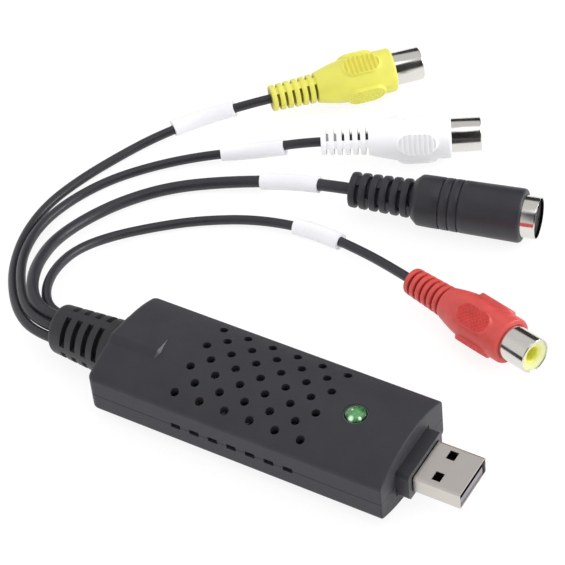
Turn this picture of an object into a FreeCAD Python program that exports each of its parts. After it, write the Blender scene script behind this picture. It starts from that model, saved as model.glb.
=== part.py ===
import FreeCAD, Part
import math
import os
import re

import Sketcher
from FreeCAD import Placement, Rotation, Vector

# USB video capture adapter, in millimetres.
# X runs from the cable end to the plug, Y to the far side and Z up. The origin lies on the
# surface that the case rests on, below the middle of the case with its plug and strain relief.

doc = FreeCAD.newDocument("VideoCaptureAdapter")

SIZES = [
    # Case
    ("case_length", 73.7),
    ("case_width", 28.0),
    ("case_wall", 1.6),
    ("top_side_depth", 5.1),
    ("top_crown_rise", 3.4),
    ("bottom_side_depth", 4.6),
    ("bottom_crown_drop", 2.9),
    ("rear_corner_radius", 1.8),
    ("top_edge_radius", 1.5),
    ("bottom_edge_radius", 1.2),
    ("front_edge_radius", 0.4),
    ("seam_chamfer", 0.12),
    ("fit_clearance", 0.1),
    # Vents and side slots
    ("vent_diameter", 2.0),
    ("vent_pitch_along", 6.29),
    ("vent_pitch_across", 3.45),
    ("vent_row_count", 7),
    ("vent_column_count", 6),
    ("side_slot_length", 2.4),
    ("side_slot_height", 1.35),
    ("side_slot_pitch", 4.7),
    ("side_slot_count", 7),
    # Raised flat at the cable end
    ("plateau_length", 12.5),
    ("plateau_near_root", 5.8),
    ("plateau_near_top", 3.3),
    ("plateau_far_top", 3.6),
    ("plateau_rise", 0.7),
    ("plateau_far_drop", 0.26),
    ("plateau_root_depth", 1.0),
    ("plateau_edge_radius", 1.2),
    # Push button
    ("button_from_front", 13.3),
    ("button_hole_diameter", 5.1),
    ("button_ring_diameter", 5.7),
    ("button_ring_depth", 0.25),
    ("button_gap", 0.25),
    ("cap_proud", 0.8),
    ("cap_flange_diameter", 6.4),
    ("cap_flange_thickness", 0.8),
    ("cap_flange_drop", 0.3),
    ("cap_stem_diameter", 3.0),
    ("switch_width", 6.0),
    ("switch_height", 3.5),
    ("switch_bore_floor", 1.2),
    ("plunger_diameter", 3.5),
    ("plunger_proud", 0.8),
    ("plunger_foot_gap", 0.6),
    # Circuit board and its posts
    ("board_rear_gap", 5.4),
    ("board_side_gap", 1.1),
    ("board_thickness", 1.2),
    ("board_front_gap", 0.3),
    ("post_inset", 5.6),
    ("post_spacing", 17.0),
    ("post_diameter", 3.0),
    ("post_tip_diameter", 1.6),
    ("post_tip_reach", 2.5),
    ("boss_diameter", 3.6),
    # Collar round the plug
    ("collar_width", 15.0),
    ("collar_height", 7.3),
    ("collar_proud", 3.1),
    ("collar_radius", 1.0),
    ("collar_flange_lip", 1.0),
    ("collar_flange_thickness", 1.0),
    # USB plug
    ("plug_reach", 11.2),
    ("plug_length", 18.75),
    ("plug_width", 12.0),
    ("plug_height", 4.5),
    ("plug_sheet", 0.3),
    ("plug_corner_radius", 0.6),
    ("window_length", 2.0),
    ("window_width", 2.45),
    ("window_from_collar", 4.77),
    ("window_spacing", 6.5),
    ("tongue_thickness", 1.85),
    ("tongue_recess", 0.4),
    ("tongue_block_length", 6.6),
    ("plug_contact_width", 1.0),
    ("plug_contact_thickness", 0.15),
    ("plug_contact_tip_gap", 1.2),
    ("plug_contact_tail", 1.0),
    ("plug_contact_inner", 1.0),
    ("plug_contact_outer", 3.5),
    # Strain relief
    ("relief_length", 17.0),
    ("relief_case_width", 13.6),
    ("relief_case_height", 14.2),
    ("relief_end_width", 10.8),
    ("relief_end_height", 12.0),
    ("relief_edge_radius", 1.2),
    ("relief_end_flange", 3.75),
    ("relief_slot_count", 4),
    ("relief_slot_width", 1.35),
    ("relief_slot_pitch", 3.0),
    ("relief_slot_depth", 1.8),
    ("relief_top_spine", 2.1),
    ("relief_side_spine", 1.8),
    ("relief_neck_diameter", 9.0),
    ("relief_flange_diameter", 11.0),
    ("relief_flange_thickness", 1.5),
    # Cords and their label sleeves
    ("rca_cord_diameter", 2.3),
    ("svideo_cord_diameter", 2.9),
    ("label_length", 16.2),
    ("red_label_length", 13.0),
    ("label_diameter", 4.0),
    ("label_bore_clearance", 0.1),
    # RCA sockets
    ("rca_neck_length", 11.5),
    ("rca_neck_end_diameter", 6.5),
    ("rca_neck_root_diameter", 7.4),
    ("rca_neck_core_diameter", 3.0),
    ("rca_rib_count", 6),
    ("rca_slot_width", 0.7),
    ("rca_spine_width", 1.4),
    ("rca_spine_drop", 0.15),
    ("spine_overlap", 0.15),
    ("rca_body_length", 20.0),
    ("rca_shoulder_diameter", 7.7),
    ("rca_shoulder_length", 6.0),
    ("rca_body_diameter", 11.0),
    ("rca_grip_length", 9.2),
    ("rca_grip_width", 5.2),
    ("rca_grip_reach", 6.0),
    ("rca_grip_from_end", 8.3),
    ("rca_shell_length", 7.2),
    ("rca_shell_sunk", 3.0),
    ("rca_shell_diameter", 8.3),
    ("rca_shell_wall", 0.5),
    ("rca_shell_step", 0.2),
    ("rca_insulator_recess", 0.3),
    ("rca_pin_bore", 3.3),
    ("rca_contact_wall", 0.3),
    ("rca_contact_recess", 1.0),
    ("socket_clearance", 0.05),
    # S-Video socket
    ("svideo_neck_length", 15.4),
    ("svideo_neck_end_diameter", 8.5),
    ("svideo_neck_root_diameter", 9.4),
    ("svideo_neck_core_diameter", 5.6),
    ("svideo_rib_count", 6),
    ("svideo_slot_width", 0.85),
    ("svideo_spine_width", 3.1),
    ("svideo_spine_drop", 0.37),
    ("svideo_body_length", 26.6),
    ("svideo_shoulder_length", 1.6),
    ("svideo_body_root_diameter", 12.3),
    ("svideo_body_diameter", 12.9),
    ("svideo_groove_count", 3),
    ("svideo_groove_start", 7.0),
    ("svideo_groove_pitch", 2.25),
    ("svideo_groove_width", 0.5),
    ("svideo_groove_depth", 0.4),
    ("svideo_shell_length", 3.5),
    ("svideo_shell_sunk", 6.0),
    ("svideo_shell_diameter", 10.0),
    ("svideo_shell_wall", 0.3),
    ("svideo_core_recess", 0.6),
    ("svideo_contact_diameter", 1.0),
    ("svideo_contact_circle", 5.6),
    ("svideo_contact_length", 5.0),
    # Electronics on the board
    ("chip_height", 1.5),
    ("chip_standoff", 0.1),
    ("lead_width", 0.3),
    ("lead_thickness", 0.2),
    ("lead_reach", 1.0),
    ("crystal_length", 11.0),
    ("crystal_width", 4.6),
    ("crystal_height", 3.5),
    ("electrolytic_diameter", 4.0),
    ("electrolytic_height", 5.4),
    ("ceramic_length", 1.6),
    ("ceramic_width", 0.8),
    ("ceramic_height", 0.8),
    ("resistor_height", 0.45),
    ("led_length", 1.6),
    ("led_width", 0.8),
    ("led_height", 0.7),
    ("wire_tail_diameter", 1.2),
    ("wire_tail_overlap", 2.0),
    ("solder_diameter", 2.0),
    ("solder_height", 1.0),
]

sizes = doc.addObject("Spreadsheet::Sheet", "sizes")
sizes.Label = "sizes"
for row, (alias, amount) in enumerate(SIZES, start=1):
    sizes.set("A%d" % row, alias)
    sizes.set("B%d" % row, str(amount))
    sizes.setAlias("B%d" % row, alias)
doc.recompute()

VALUES = {alias: float(sizes.get(alias)) for alias, _ in SIZES}
WORD = re.compile(r"[a-z]+(?:_[a-z]+)+")


def formula(text):
    """The text with each size name written as a cell of the sheet."""
    return WORD.sub(lambda word: "sizes." + word.group(), text)


def number(text):
    """The amount that the text comes to with the sheet's sizes."""
    plain = WORD.sub(lambda word: "(%r)" % VALUES[word.group()], text)
    return FreeCAD.Units.Quantity(plain).Value


def count(alias):
    return int(VALUES[alias])


# Stations and levels worked out from the sizes
FRONT = "((case_length + relief_length - plug_reach - collar_proud) / 2)"
REAR = "((relief_length - case_length - plug_reach - collar_proud) / 2)"
CASE_MIDDLE = "((relief_length - plug_reach - collar_proud) / 2)"
CABLE_END = "(%s - relief_length)" % REAR
COLLAR_FACE = "(%s + collar_proud)" % FRONT
PLUG_TIP = "(%s + plug_reach)" % COLLAR_FACE
PLUG_REAR = "(%s - plug_length)" % PLUG_TIP
SEAM = "(bottom_side_depth + bottom_crown_drop)"
TOP = "(%s + top_side_depth + top_crown_rise)" % SEAM
TOP_RADIUS = "((case_width^2 / 4 + top_crown_rise^2) / (2 * top_crown_rise))"
BOTTOM_RADIUS = "((case_width^2 / 4 + bottom_crown_drop^2) / (2 * bottom_crown_drop))"
BOARD_TOP = "(%s - plug_height / 2)" % SEAM
BOARD_BOTTOM = "(%s - board_thickness)" % BOARD_TOP
BOARD_FRONT = "(%s - case_wall - collar_flange_thickness - board_front_gap)" % FRONT
BOARD_REAR = "(%s + case_wall + relief_flange_thickness + board_rear_gap)" % REAR
BOARD_LENGTH = "(%s - %s)" % (BOARD_FRONT, BOARD_REAR)
BOARD_WIDTH = "(case_width - 2 * case_wall - 2 * board_side_gap)"
BUTTON_X = "(%s - button_from_front)" % FRONT
SWITCH_TOP = "(%s + switch_height)" % BOARD_TOP
PLUNGER_TOP = "(%s + plunger_proud)" % SWITCH_TOP
RELIEF_INSIDE = "(%s + case_wall + relief_flange_thickness)" % REAR


def plane(body, role):
    return next(item for item in body.Origin.OriginFeatures if item.Role == role)


def new_body(label):
    body = doc.addObject("PartDesign::Body", label)
    body.Label = label
    body.AllowCompound = True
    return body


def sketch_on(body, name, role, offset="0"):
    """A sketch on one of the body's origin planes, moved along X, Y or Z by the offset."""
    sketch = body.newObject("Sketcher::SketchObject", name)
    sketch.AttachmentSupport = [(plane(body, role), "")]
    sketch.MapMode = "FlatFace"
    away = "-(%s)" % offset if role == "XZ_Plane" else offset
    sketch.setExpression("AttachmentOffset.Base.z", formula(away))
    return sketch


def dimension(sketch, kind, references, expression):
    """A driving dimension of the sketch, tied to an expression in the sheet's sizes."""
    index = sketch.addConstraint(Sketcher.Constraint(kind, *references, number(expression)))
    name = "size_%d" % index
    sketch.renameConstraint(index, name)
    sketch.setExpression("Constraints." + name, formula(expression))


def fix_point(sketch, geometry, position, across, upward):
    """Ties a point of the sketch to its two distances from the sketch's origin."""
    dimension(sketch, "DistanceX", (-1, 1, geometry, position), across)
    dimension(sketch, "DistanceY", (-1, 1, geometry, position), upward)


def polygon(sketch, points):
    """A closed outline of straight lines through points given as pairs of expressions."""
    first = sketch.GeometryCount
    places = [Vector(number(across), number(upward), 0) for across, upward in points]
    for index, place in enumerate(places):
        sketch.addGeometry(Part.LineSegment(place, places[(index + 1) % len(places)]))
    for index in range(len(places)):
        following = first + (index + 1) % len(places)
        sketch.addConstraint(Sketcher.Constraint("Coincident", first + index, 2, following, 1))
    for index, (across, upward) in enumerate(points):
        fix_point(sketch, first + index, 1, across, upward)


def rectangle(sketch, across, upward, width, height):
    """A rectangle about a centre, its corners tied to the expressions."""
    corners = [("-", "-"), ("+", "-"), ("+", "+"), ("-", "+")]
    polygon(sketch, [("%s %s (%s) / 2" % (across, side, width),
                      "%s %s (%s) / 2" % (upward, end, height)) for side, end in corners])


def circle(sketch, across, upward, diameter):
    centre = Vector(number(across), number(upward), 0)
    round_edge = sketch.addGeometry(
        Part.Circle(centre, Vector(0, 0, 1), number(diameter) / 2))
    fix_point(sketch, round_edge, 3, across, upward)
    dimension(sketch, "Diameter", (round_edge,), diameter)


def stadium(sketch, across, upward, length, width):
    """A slot shape with round ends, long in the sketch's first direction."""
    first = sketch.GeometryCount
    radius = number("(%s) / 2" % width)
    reach = number("((%s) - (%s)) / 2" % (length, width))
    middle = Vector(number(across), number(upward), 0)
    normal = Vector(0, 0, 1)
    ahead = middle + Vector(reach, 0, 0)
    behind = middle - Vector(reach, 0, 0)
    rise = Vector(0, radius, 0)
    quarter = math.pi / 2
    sketch.addGeometry(Part.LineSegment(behind - rise, ahead - rise))
    sketch.addGeometry(Part.ArcOfCircle(Part.Circle(ahead, normal, radius), -quarter, quarter))
    sketch.addGeometry(Part.LineSegment(ahead + rise, behind + rise))
    sketch.addGeometry(
        Part.ArcOfCircle(Part.Circle(behind, normal, radius), quarter, 3 * quarter))
    for index in range(4):
        sketch.addConstraint(Sketcher.Constraint(
            "Tangent", first + index, 2, first + (index + 1) % 4, 1))
    sketch.addConstraint(Sketcher.Constraint("Equal", first + 1, first + 3))
    half = "((%s) - (%s)) / 2" % (length, width)
    fix_point(sketch, first + 1, 3, "%s + %s" % (across, half), upward)
    fix_point(sketch, first + 3, 3, "%s - %s" % (across, half), upward)
    dimension(sketch, "Radius", (first + 1,), "(%s) / 2" % width)


def crowned_outline(sketch, half_width, seam, corner, crown, arc_radius):
    """Three straight sides and a shallow arc from corner to corner through the crown."""
    half = number(half_width)
    low = number(seam)
    edge = number(corner)
    rise = number(crown) - edge
    radius = (half * half + rise * rise) / (2 * abs(rise))
    upward = rise > 0
    centre = Vector(0, number(crown) + (-radius if upward else radius), 0)
    lean = math.atan2(edge - centre.y, half)
    seam_left = Vector(-half, low, 0)
    seam_right = Vector(half, low, 0)
    corner_right = Vector(half, edge, 0)
    corner_left = Vector(-half, edge, 0)
    bottom = sketch.addGeometry(Part.LineSegment(seam_left, seam_right))
    right = sketch.addGeometry(Part.LineSegment(seam_right, corner_right))
    left = sketch.addGeometry(Part.LineSegment(corner_left, seam_left))
    start, end = (lean, math.pi - lean) if upward else (-math.pi - lean, lean)
    arc = sketch.addGeometry(
        Part.ArcOfCircle(Part.Circle(centre, Vector(0, 0, 1), radius), start, end))
    right_end, left_end = (1, 2) if upward else (2, 1)
    joined = ((bottom, 2, right, 1), (right, 2, arc, right_end),
              (arc, left_end, left, 1), (left, 2, bottom, 1))
    for references in joined:
        sketch.addConstraint(Sketcher.Constraint("Coincident", *references))
    sketch.addConstraint(Sketcher.Constraint("Vertical", right))
    sketch.addConstraint(Sketcher.Constraint("Vertical", left))
    sketch.addConstraint(Sketcher.Constraint("Symmetric", bottom, 1, bottom, 2, -2))
    sketch.addConstraint(Sketcher.Constraint("PointOnObject", arc, 3, -2))
    fix_point(sketch, bottom, 2, half_width, seam)
    dimension(sketch, "DistanceY", (-1, 1, right, 2), corner)
    dimension(sketch, "Radius", (arc,), arc_radius)


def extrude(body, kind, sketch, length=None):
    """A pad or pocket that reaches equally far to both sides of its sketch."""
    feature = body.newObject("PartDesign::" + kind, "%s_%s" % (sketch.Name, kind.lower()))
    feature.Profile = sketch
    feature.SideType = "Symmetric"
    if length is None:
        feature.Type = "ThroughAll"
    else:
        feature.Type = "Length"
        feature.Length = number(length)
        feature.setExpression("Length", formula(length))
    return settle(body, feature)


def settle(body, feature):
    """Recomputes and stops where a cut took nothing away or a pad added nothing."""
    before = feature.BaseFeature.Shape.Volume if feature.BaseFeature else 0.0
    doc.recompute()
    after = feature.Shape.Volume
    if not feature.isValid() or abs(after - before) < 1e-6:
        raise RuntimeError("%s changed nothing" % feature.Name)
    cuts = feature.TypeId in ("PartDesign::Pocket", "PartDesign::Groove")
    if cuts and after > before:
        raise RuntimeError("%s should cut" % feature.Name)
    body.Tip = feature
    return feature


def revolve(body, sketch, axis):
    feature = body.newObject("PartDesign::Revolution", sketch.Name + "_revolution")
    feature.Profile = sketch
    feature.ReferenceAxis = (plane(body, axis), [""])
    feature.Angle = 360
    return settle(body, feature)


def fillet(body, name, keep, radius):
    """Rounds the edges of the body's tip that the test keeps."""
    base = body.Tip
    names = ["Edge%d" % index for index, edge in enumerate(base.Shape.Edges, start=1)
             if keep(edge)]
    feature = body.newObject("PartDesign::Fillet", name)
    feature.Base = (base, names)
    feature.Radius = number(radius)
    feature.setExpression("Radius", formula(radius))
    doc.recompute()
    body.Tip = feature
    return feature


def bevel(body, name, keep, depth):
    """Takes a small flat off the edges of the body's tip that the test keeps."""
    base = body.Tip
    names = ["Edge%d" % index for index, edge in enumerate(base.Shape.Edges, start=1)
             if keep(edge)]
    feature = body.newObject("PartDesign::Chamfer", name)
    feature.Base = (base, names)
    feature.Size = number(depth)
    feature.setExpression("Size", formula(depth))
    doc.recompute()
    body.Tip = feature
    return feature


def spans(edge, axis):
    """How far an edge reaches along X, Y or Z."""
    box = edge.BoundBox
    return {"X": box.XLength, "Y": box.YLength, "Z": box.ZLength}[axis]


def straight_along(edge, axis):
    others = [name for name in "XYZ" if name != axis]
    return spans(edge, axis) > 0.01 and all(spans(edge, name) < 0.001 for name in others)


def box(name, low, sides):
    """A box from its low corner and its sides, each an expression."""
    block = doc.addObject("Part::Box", name)
    for axis, expression in zip("xyz", low):
        block.setExpression("Placement.Base." + axis, formula(expression))
    for side, expression in zip(("Length", "Width", "Height"), sides):
        block.setExpression(side, formula(expression))
    return block


def cylinder(name, foot, diameter, height, along_x=False):
    """A cylinder that stands on its foot, or lies along X."""
    rod = doc.addObject("Part::Cylinder", name)
    if along_x:
        rod.Placement = Placement(Vector(), Rotation(Vector(0, 1, 0), 90))
    for axis, expression in zip("xyz", foot):
        rod.setExpression("Placement.Base." + axis, formula(expression))
    rod.setExpression("Radius", formula("(%s) / 2" % diameter))
    rod.setExpression("Height", formula(height))
    return rod


def together(label, pieces):
    """One node made of separate solids."""
    group = doc.addObject("Part::Compound", label)
    group.Label = label
    group.Links = pieces
    return group


NODES = []


def keep_node(item):
    NODES.append(item)
    return item


# Covers

def post_places():
    """The middles of the four posts, as pairs of expressions."""
    return [("(%s %s post_inset)" % (end, sign), "(%spost_spacing / 2)" % side)
            for end, sign in ((BOARD_REAR, "+"), (BOARD_FRONT, "-")) for side in ("", "-")]


def vent_places():
    """Rows of vents, each second row one vent shorter and half a pitch along."""
    rows = count("vent_row_count")
    columns = count("vent_column_count")
    places = []
    for row in range(rows):
        vents = columns - row % 2
        across = "((%r) * vent_pitch_across)" % (row - (rows - 1) / 2)
        for vent in range(vents):
            along = "(%s + (%r) * vent_pitch_along)" % (CASE_MIDDLE, vent - (vents - 1) / 2)
            places.append((along, across))
    return places


def cut_side_slots(body, name):
    sketch = sketch_on(body, name + "_slots", "XZ_Plane")
    slots = count("side_slot_count")
    for slot in range(slots):
        along = "%s + (%r) * side_slot_pitch" % (CASE_MIDDLE, slot - (slots - 1) / 2)
        rectangle(sketch, along, SEAM, "side_slot_length", "side_slot_height")
    extrude(body, "Pocket", sketch)


def cut_end_openings(body, name):
    """The openings for the collar in front and for the neck of the strain relief behind."""
    sketch = sketch_on(body, name + "_collar_opening", "YZ_Plane",
                       "%s - case_wall / 2" % FRONT)
    rectangle(sketch, "0", SEAM, "(collar_width + 2 * fit_clearance)",
              "(collar_height + 2 * fit_clearance)")
    extrude(body, "Pocket", sketch, "case_wall * 1.5")
    sketch = sketch_on(body, name + "_relief_opening", "YZ_Plane",
                       "%s + case_wall / 2" % REAR)
    circle(sketch, "0", SEAM, "relief_neck_diameter + 2 * fit_clearance")
    extrude(body, "Pocket", sketch, "case_wall * 1.5")


def shell(body, name, corner, crown, radius, edge_radius, sign):
    """The outside of a cover with its rounded corners, and the hollow inside it."""
    half = "case_width / 2"
    sketch = sketch_on(body, name + "_outside", "YZ_Plane", CASE_MIDDLE)
    crowned_outline(sketch, half, SEAM, corner, crown, radius)
    extrude(body, "Pad", sketch, "case_length")
    rear = number(REAR)
    front = number(FRONT)
    seam = number(SEAM)

    def off_seam(edge):
        return abs(edge.BoundBox.ZMax - seam) + abs(edge.BoundBox.ZMin - seam) > 0.01

    def on_rim(edge):
        low, high = edge.BoundBox.ZMin, edge.BoundBox.ZMax
        outer_end = low if sign > 0 else high
        return abs(outer_end - seam) > 1.0 and edge.BoundBox.XMin < front - 0.01

    fillet(body, name + "_rear_corners",
           lambda edge: straight_along(edge, "Z") and abs(edge.BoundBox.XMin - rear) < 0.01,
           "rear_corner_radius")
    fillet(body, name + "_rim", on_rim, edge_radius)
    fillet(body, name + "_front_rim",
           lambda edge: edge.BoundBox.XMin > front - 0.01 and off_seam(edge),
           "front_edge_radius")
    bevel(body, name + "_seam_edge", lambda edge: not off_seam(edge), "seam_chamfer")
    inner_half = "(case_width / 2 - case_wall)"
    inner_crown = "(%s %s case_wall)" % (crown, "-" if sign > 0 else "+")
    reach = "sqrt((%s - case_wall)^2 - %s^2)" % (radius, inner_half)
    centre = "(%s %s %s)" % (crown, "-" if sign > 0 else "+", radius)
    inner_corner = "(%s %s %s)" % (centre, "+" if sign > 0 else "-", reach)
    return inner_half, inner_corner, inner_crown


def make_top_cover():
    body = new_body("top_cover")
    corner = "(%s + top_side_depth)" % SEAM
    half, inner_corner, inner_crown = shell(body, "top", corner, TOP, TOP_RADIUS,
                                            "top_edge_radius", 1)
    plateau = sketch_on(body, "plateau", "YZ_Plane", "%s + plateau_length / 2" % REAR)
    base = "(%s - plateau_root_depth)" % TOP
    level = "(%s + plateau_rise)" % TOP
    polygon(plateau, [("-plateau_near_root", base), ("plateau_far_top", base),
                      ("plateau_far_top", "(%s - plateau_far_drop)" % TOP),
                      ("-plateau_near_top", level)])
    extrude(body, "Pad", plateau, "plateau_length")
    rear = number(REAR)
    near_top = number("-plateau_near_top")
    top = number(level)

    def plateau_edge(edge):
        box = edge.BoundBox
        along_near = spans(edge, "X") > 1.0 and abs(box.YMax - near_top) < 0.01
        at_rear = spans(edge, "Y") > 1.0 and box.XMax < rear + 0.01
        return box.ZMax > top - 0.01 and (along_near or at_rear)

    fillet(body, "plateau_edges", plateau_edge, "plateau_edge_radius")
    hollow = sketch_on(body, "top_inside", "YZ_Plane", CASE_MIDDLE)
    crowned_outline(hollow, half, SEAM, inner_corner, inner_crown,
                    "(%s - case_wall)" % TOP_RADIUS)
    extrude(body, "Pocket", hollow, "case_length - 2 * case_wall")
    ceiling = "(%s - %s + sqrt((%s - case_wall / 2)^2 - post_spacing^2 / 4))" % (
        TOP, TOP_RADIUS, TOP_RADIUS)
    foot = "(%s + fit_clearance)" % BOARD_TOP
    bosses = sketch_on(body, "bosses", "XY_Plane", "(%s + %s) / 2" % (foot, ceiling))
    holes = sketch_on(body, "boss_holes", "XY_Plane",
                      "%s + (post_tip_reach + fit_clearance) / 2" % BOARD_TOP)
    for along, across in post_places():
        circle(bosses, along, across, "boss_diameter")
        circle(holes, along, across, "post_tip_diameter + 2 * fit_clearance")
    extrude(body, "Pad", bosses, "(%s - %s)" % (ceiling, foot))
    extrude(body, "Pocket", holes, "post_tip_reach + 2 * fit_clearance")
    vents = sketch_on(body, "vents", "XY_Plane", TOP)
    for along, across in vent_places():
        circle(vents, along, across, "vent_diameter")
    extrude(body, "Pocket", vents, "2 * (top_crown_rise + case_wall)")
    hole = sketch_on(body, "button_hole", "XY_Plane", TOP)
    circle(hole, BUTTON_X, "0", "button_hole_diameter")
    extrude(body, "Pocket", hole, "4 * case_wall")
    ring = sketch_on(body, "button_ring", "XY_Plane", TOP)
    circle(ring, BUTTON_X, "0", "button_ring_diameter")
    extrude(body, "Pocket", ring, "2 * button_ring_depth")
    cut_side_slots(body, "top")
    cut_end_openings(body, "top")
    return keep_node(body)


def make_bottom_cover():
    body = new_body("bottom_cover")
    corner = "bottom_crown_drop"
    half, inner_corner, inner_crown = shell(body, "bottom", corner, "0", BOTTOM_RADIUS,
                                            "bottom_edge_radius", -1)
    hollow = sketch_on(body, "bottom_inside", "YZ_Plane", CASE_MIDDLE)
    crowned_outline(hollow, half, SEAM, inner_corner, inner_crown,
                    "(%s - case_wall)" % BOTTOM_RADIUS)
    extrude(body, "Pocket", hollow, "case_length - 2 * case_wall")
    root = "(%s - sqrt((%s - case_wall / 2)^2 - post_spacing^2 / 4))" % (
        BOTTOM_RADIUS, BOTTOM_RADIUS)
    tip = "(%s + post_tip_reach)" % BOARD_TOP
    posts = sketch_on(body, "posts", "XY_Plane", "(%s + %s) / 2" % (root, BOARD_BOTTOM))
    tips = sketch_on(body, "post_tips", "XY_Plane", "(%s + %s) / 2" % (root, tip))
    for along, across in post_places():
        circle(posts, along, across, "post_diameter")
        circle(tips, along, across, "post_tip_diameter")
    extrude(body, "Pad", posts, "%s - %s" % (BOARD_BOTTOM, root))
    extrude(body, "Pad", tips, "%s - %s" % (tip, root))
    cut_side_slots(body, "bottom")
    cut_end_openings(body, "bottom")
    return keep_node(body)


# Collar and USB plug

def make_plug_collar():
    body = new_body("plug_collar")
    sleeve = sketch_on(body, "collar_sleeve", "YZ_Plane",
                       "%s + (collar_proud - case_wall) / 2" % FRONT)
    rectangle(sleeve, "0", SEAM, "collar_width", "collar_height")
    extrude(body, "Pad", sleeve, "collar_proud + case_wall")
    fillet(body, "collar_corners", lambda edge: straight_along(edge, "X"), "collar_radius")
    flange = sketch_on(body, "collar_flange", "YZ_Plane",
                       "%s - case_wall - collar_flange_thickness / 2" % FRONT)
    rectangle(flange, "0", SEAM, "(collar_width + 2 * collar_flange_lip)",
              "(collar_height + 2 * collar_flange_lip)")
    extrude(body, "Pad", flange, "collar_flange_thickness")
    bore = sketch_on(body, "collar_bore", "YZ_Plane", FRONT)
    rectangle(bore, "0", SEAM, "(plug_width + 2 * socket_clearance)",
              "(plug_height + 2 * socket_clearance)")
    extrude(body, "Pocket", bore)
    return keep_node(body)


def make_plug_shell():
    body = new_body("usb_plug_shell")
    middle = "(%s - plug_length / 2)" % PLUG_TIP
    outside = sketch_on(body, "plug_outside", "YZ_Plane", middle)
    rectangle(outside, "0", SEAM, "plug_width", "plug_height")
    extrude(body, "Pad", outside, "plug_length")
    fillet(body, "plug_corners", lambda edge: straight_along(edge, "X"), "plug_corner_radius")
    inside = sketch_on(body, "plug_inside", "YZ_Plane", middle)
    rectangle(inside, "0", SEAM, "(plug_width - 2 * plug_sheet)",
              "(plug_height - 2 * plug_sheet)")
    extrude(body, "Pocket", inside)
    windows = sketch_on(body, "plug_windows", "XY_Plane", SEAM)
    for side in ("", "-"):
        rectangle(windows, "%s + window_from_collar" % COLLAR_FACE, side + "window_spacing / 2",
                  "window_length", "window_width")
    extrude(body, "Pocket", windows)
    return keep_node(body)


def contact_places():
    return ("-plug_contact_outer", "-plug_contact_inner", "plug_contact_inner",
            "plug_contact_outer")


TONGUE_BOTTOM = "(%s - plug_height / 2 + plug_sheet + socket_clearance)" % SEAM
TONGUE_TOP = "(%s + tongue_thickness)" % TONGUE_BOTTOM


def make_plug_insulator():
    body = new_body("usb_plug_insulator")
    width = "(plug_width - 2 * plug_sheet - 2 * plug_corner_radius)"
    height = "(plug_height - 2 * plug_sheet - 2 * socket_clearance)"
    block = sketch_on(body, "tongue_block", "YZ_Plane",
                      "%s + tongue_block_length / 2" % PLUG_REAR)
    rectangle(block, "0", SEAM, width, height)
    extrude(body, "Pad", block, "tongue_block_length")
    tongue = sketch_on(body, "tongue", "YZ_Plane",
                       "(%s + %s - tongue_recess) / 2" % (PLUG_REAR, PLUG_TIP))
    rectangle(tongue, "0", "(%s + %s) / 2" % (TONGUE_BOTTOM, TONGUE_TOP), width,
              "tongue_thickness")
    extrude(body, "Pad", tongue, "plug_length - tongue_recess")
    slots = sketch_on(body, "contact_slots", "YZ_Plane",
                      "%s + tongue_block_length / 2" % PLUG_REAR)
    for across in contact_places():
        rectangle(slots, across, "%s + plug_contact_thickness / 2" % TONGUE_TOP,
                  "plug_contact_width", "plug_contact_thickness")
    extrude(body, "Pocket", slots, "tongue_block_length + 2 * tongue_recess")
    return keep_node(body)


def make_plug_contacts():
    """Four flat contacts on the tongue, each with a tail bent down to the board."""
    solids = []
    tail = "(%s - plug_contact_tail)" % PLUG_REAR
    for index, across in enumerate(contact_places()):
        edge = "%s - plug_contact_width / 2" % across
        strip = box("plug_contact_%d" % index, (tail, edge, TONGUE_TOP),
                    ("%s - plug_contact_tip_gap - %s" % (PLUG_TIP, tail),
                     "plug_contact_width", "plug_contact_thickness"))
        leg = box("plug_contact_leg_%d" % index, (tail, edge, BOARD_TOP),
                  ("plug_contact_thickness", "plug_contact_width",
                   "%s - %s + plug_contact_thickness" % (TONGUE_TOP, BOARD_TOP)))
        bent = doc.addObject("Part::MultiFuse", "plug_contact_bent_%d" % index)
        bent.Shapes = [strip, leg]
        solids.append(bent)
    return keep_node(together("usb_plug_contacts", solids))


# Board and what it carries

def make_board():
    body = new_body("circuit_board")
    middle = "(%s + %s) / 2" % (BOARD_TOP, BOARD_BOTTOM)
    outline = sketch_on(body, "board_outline", "XY_Plane", middle)
    rectangle(outline, "(%s + %s) / 2" % (BOARD_REAR, BOARD_FRONT), "0", BOARD_LENGTH,
              BOARD_WIDTH)
    extrude(body, "Pad", outline, "board_thickness")
    holes = sketch_on(body, "board_holes", "XY_Plane", middle)
    for along, across in post_places():
        circle(holes, along, across, "post_tip_diameter + 2 * fit_clearance")
    extrude(body, "Pocket", holes)
    return keep_node(body)


def along_board(share):
    """A place along the board, as a share of its length behind its front end."""
    return "(%s - %s * %s)" % (BOARD_FRONT, share, BOARD_LENGTH)


# Each chip: name, share of the board's length behind its front end, middle across,
# side along X, side along Y, leads on each long side
CHIPS = [
    ("video_decoder_chip", "0.62", "0", "9.8", "5.2", 13),
    ("usb_bridge_chip", "0.36", "-4.5", "8.2", "5.2", 11),
    ("audio_converter_chip", "0.36", "5.2", "6.2", "4.0", 8),
]
CRYSTAL_SHARE = "0.62"
ELECTROLYTIC_SHARE = "0.475"
RESISTOR_SHARE = "0.74"
CERAMIC_SHARE = "0.80"


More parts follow.
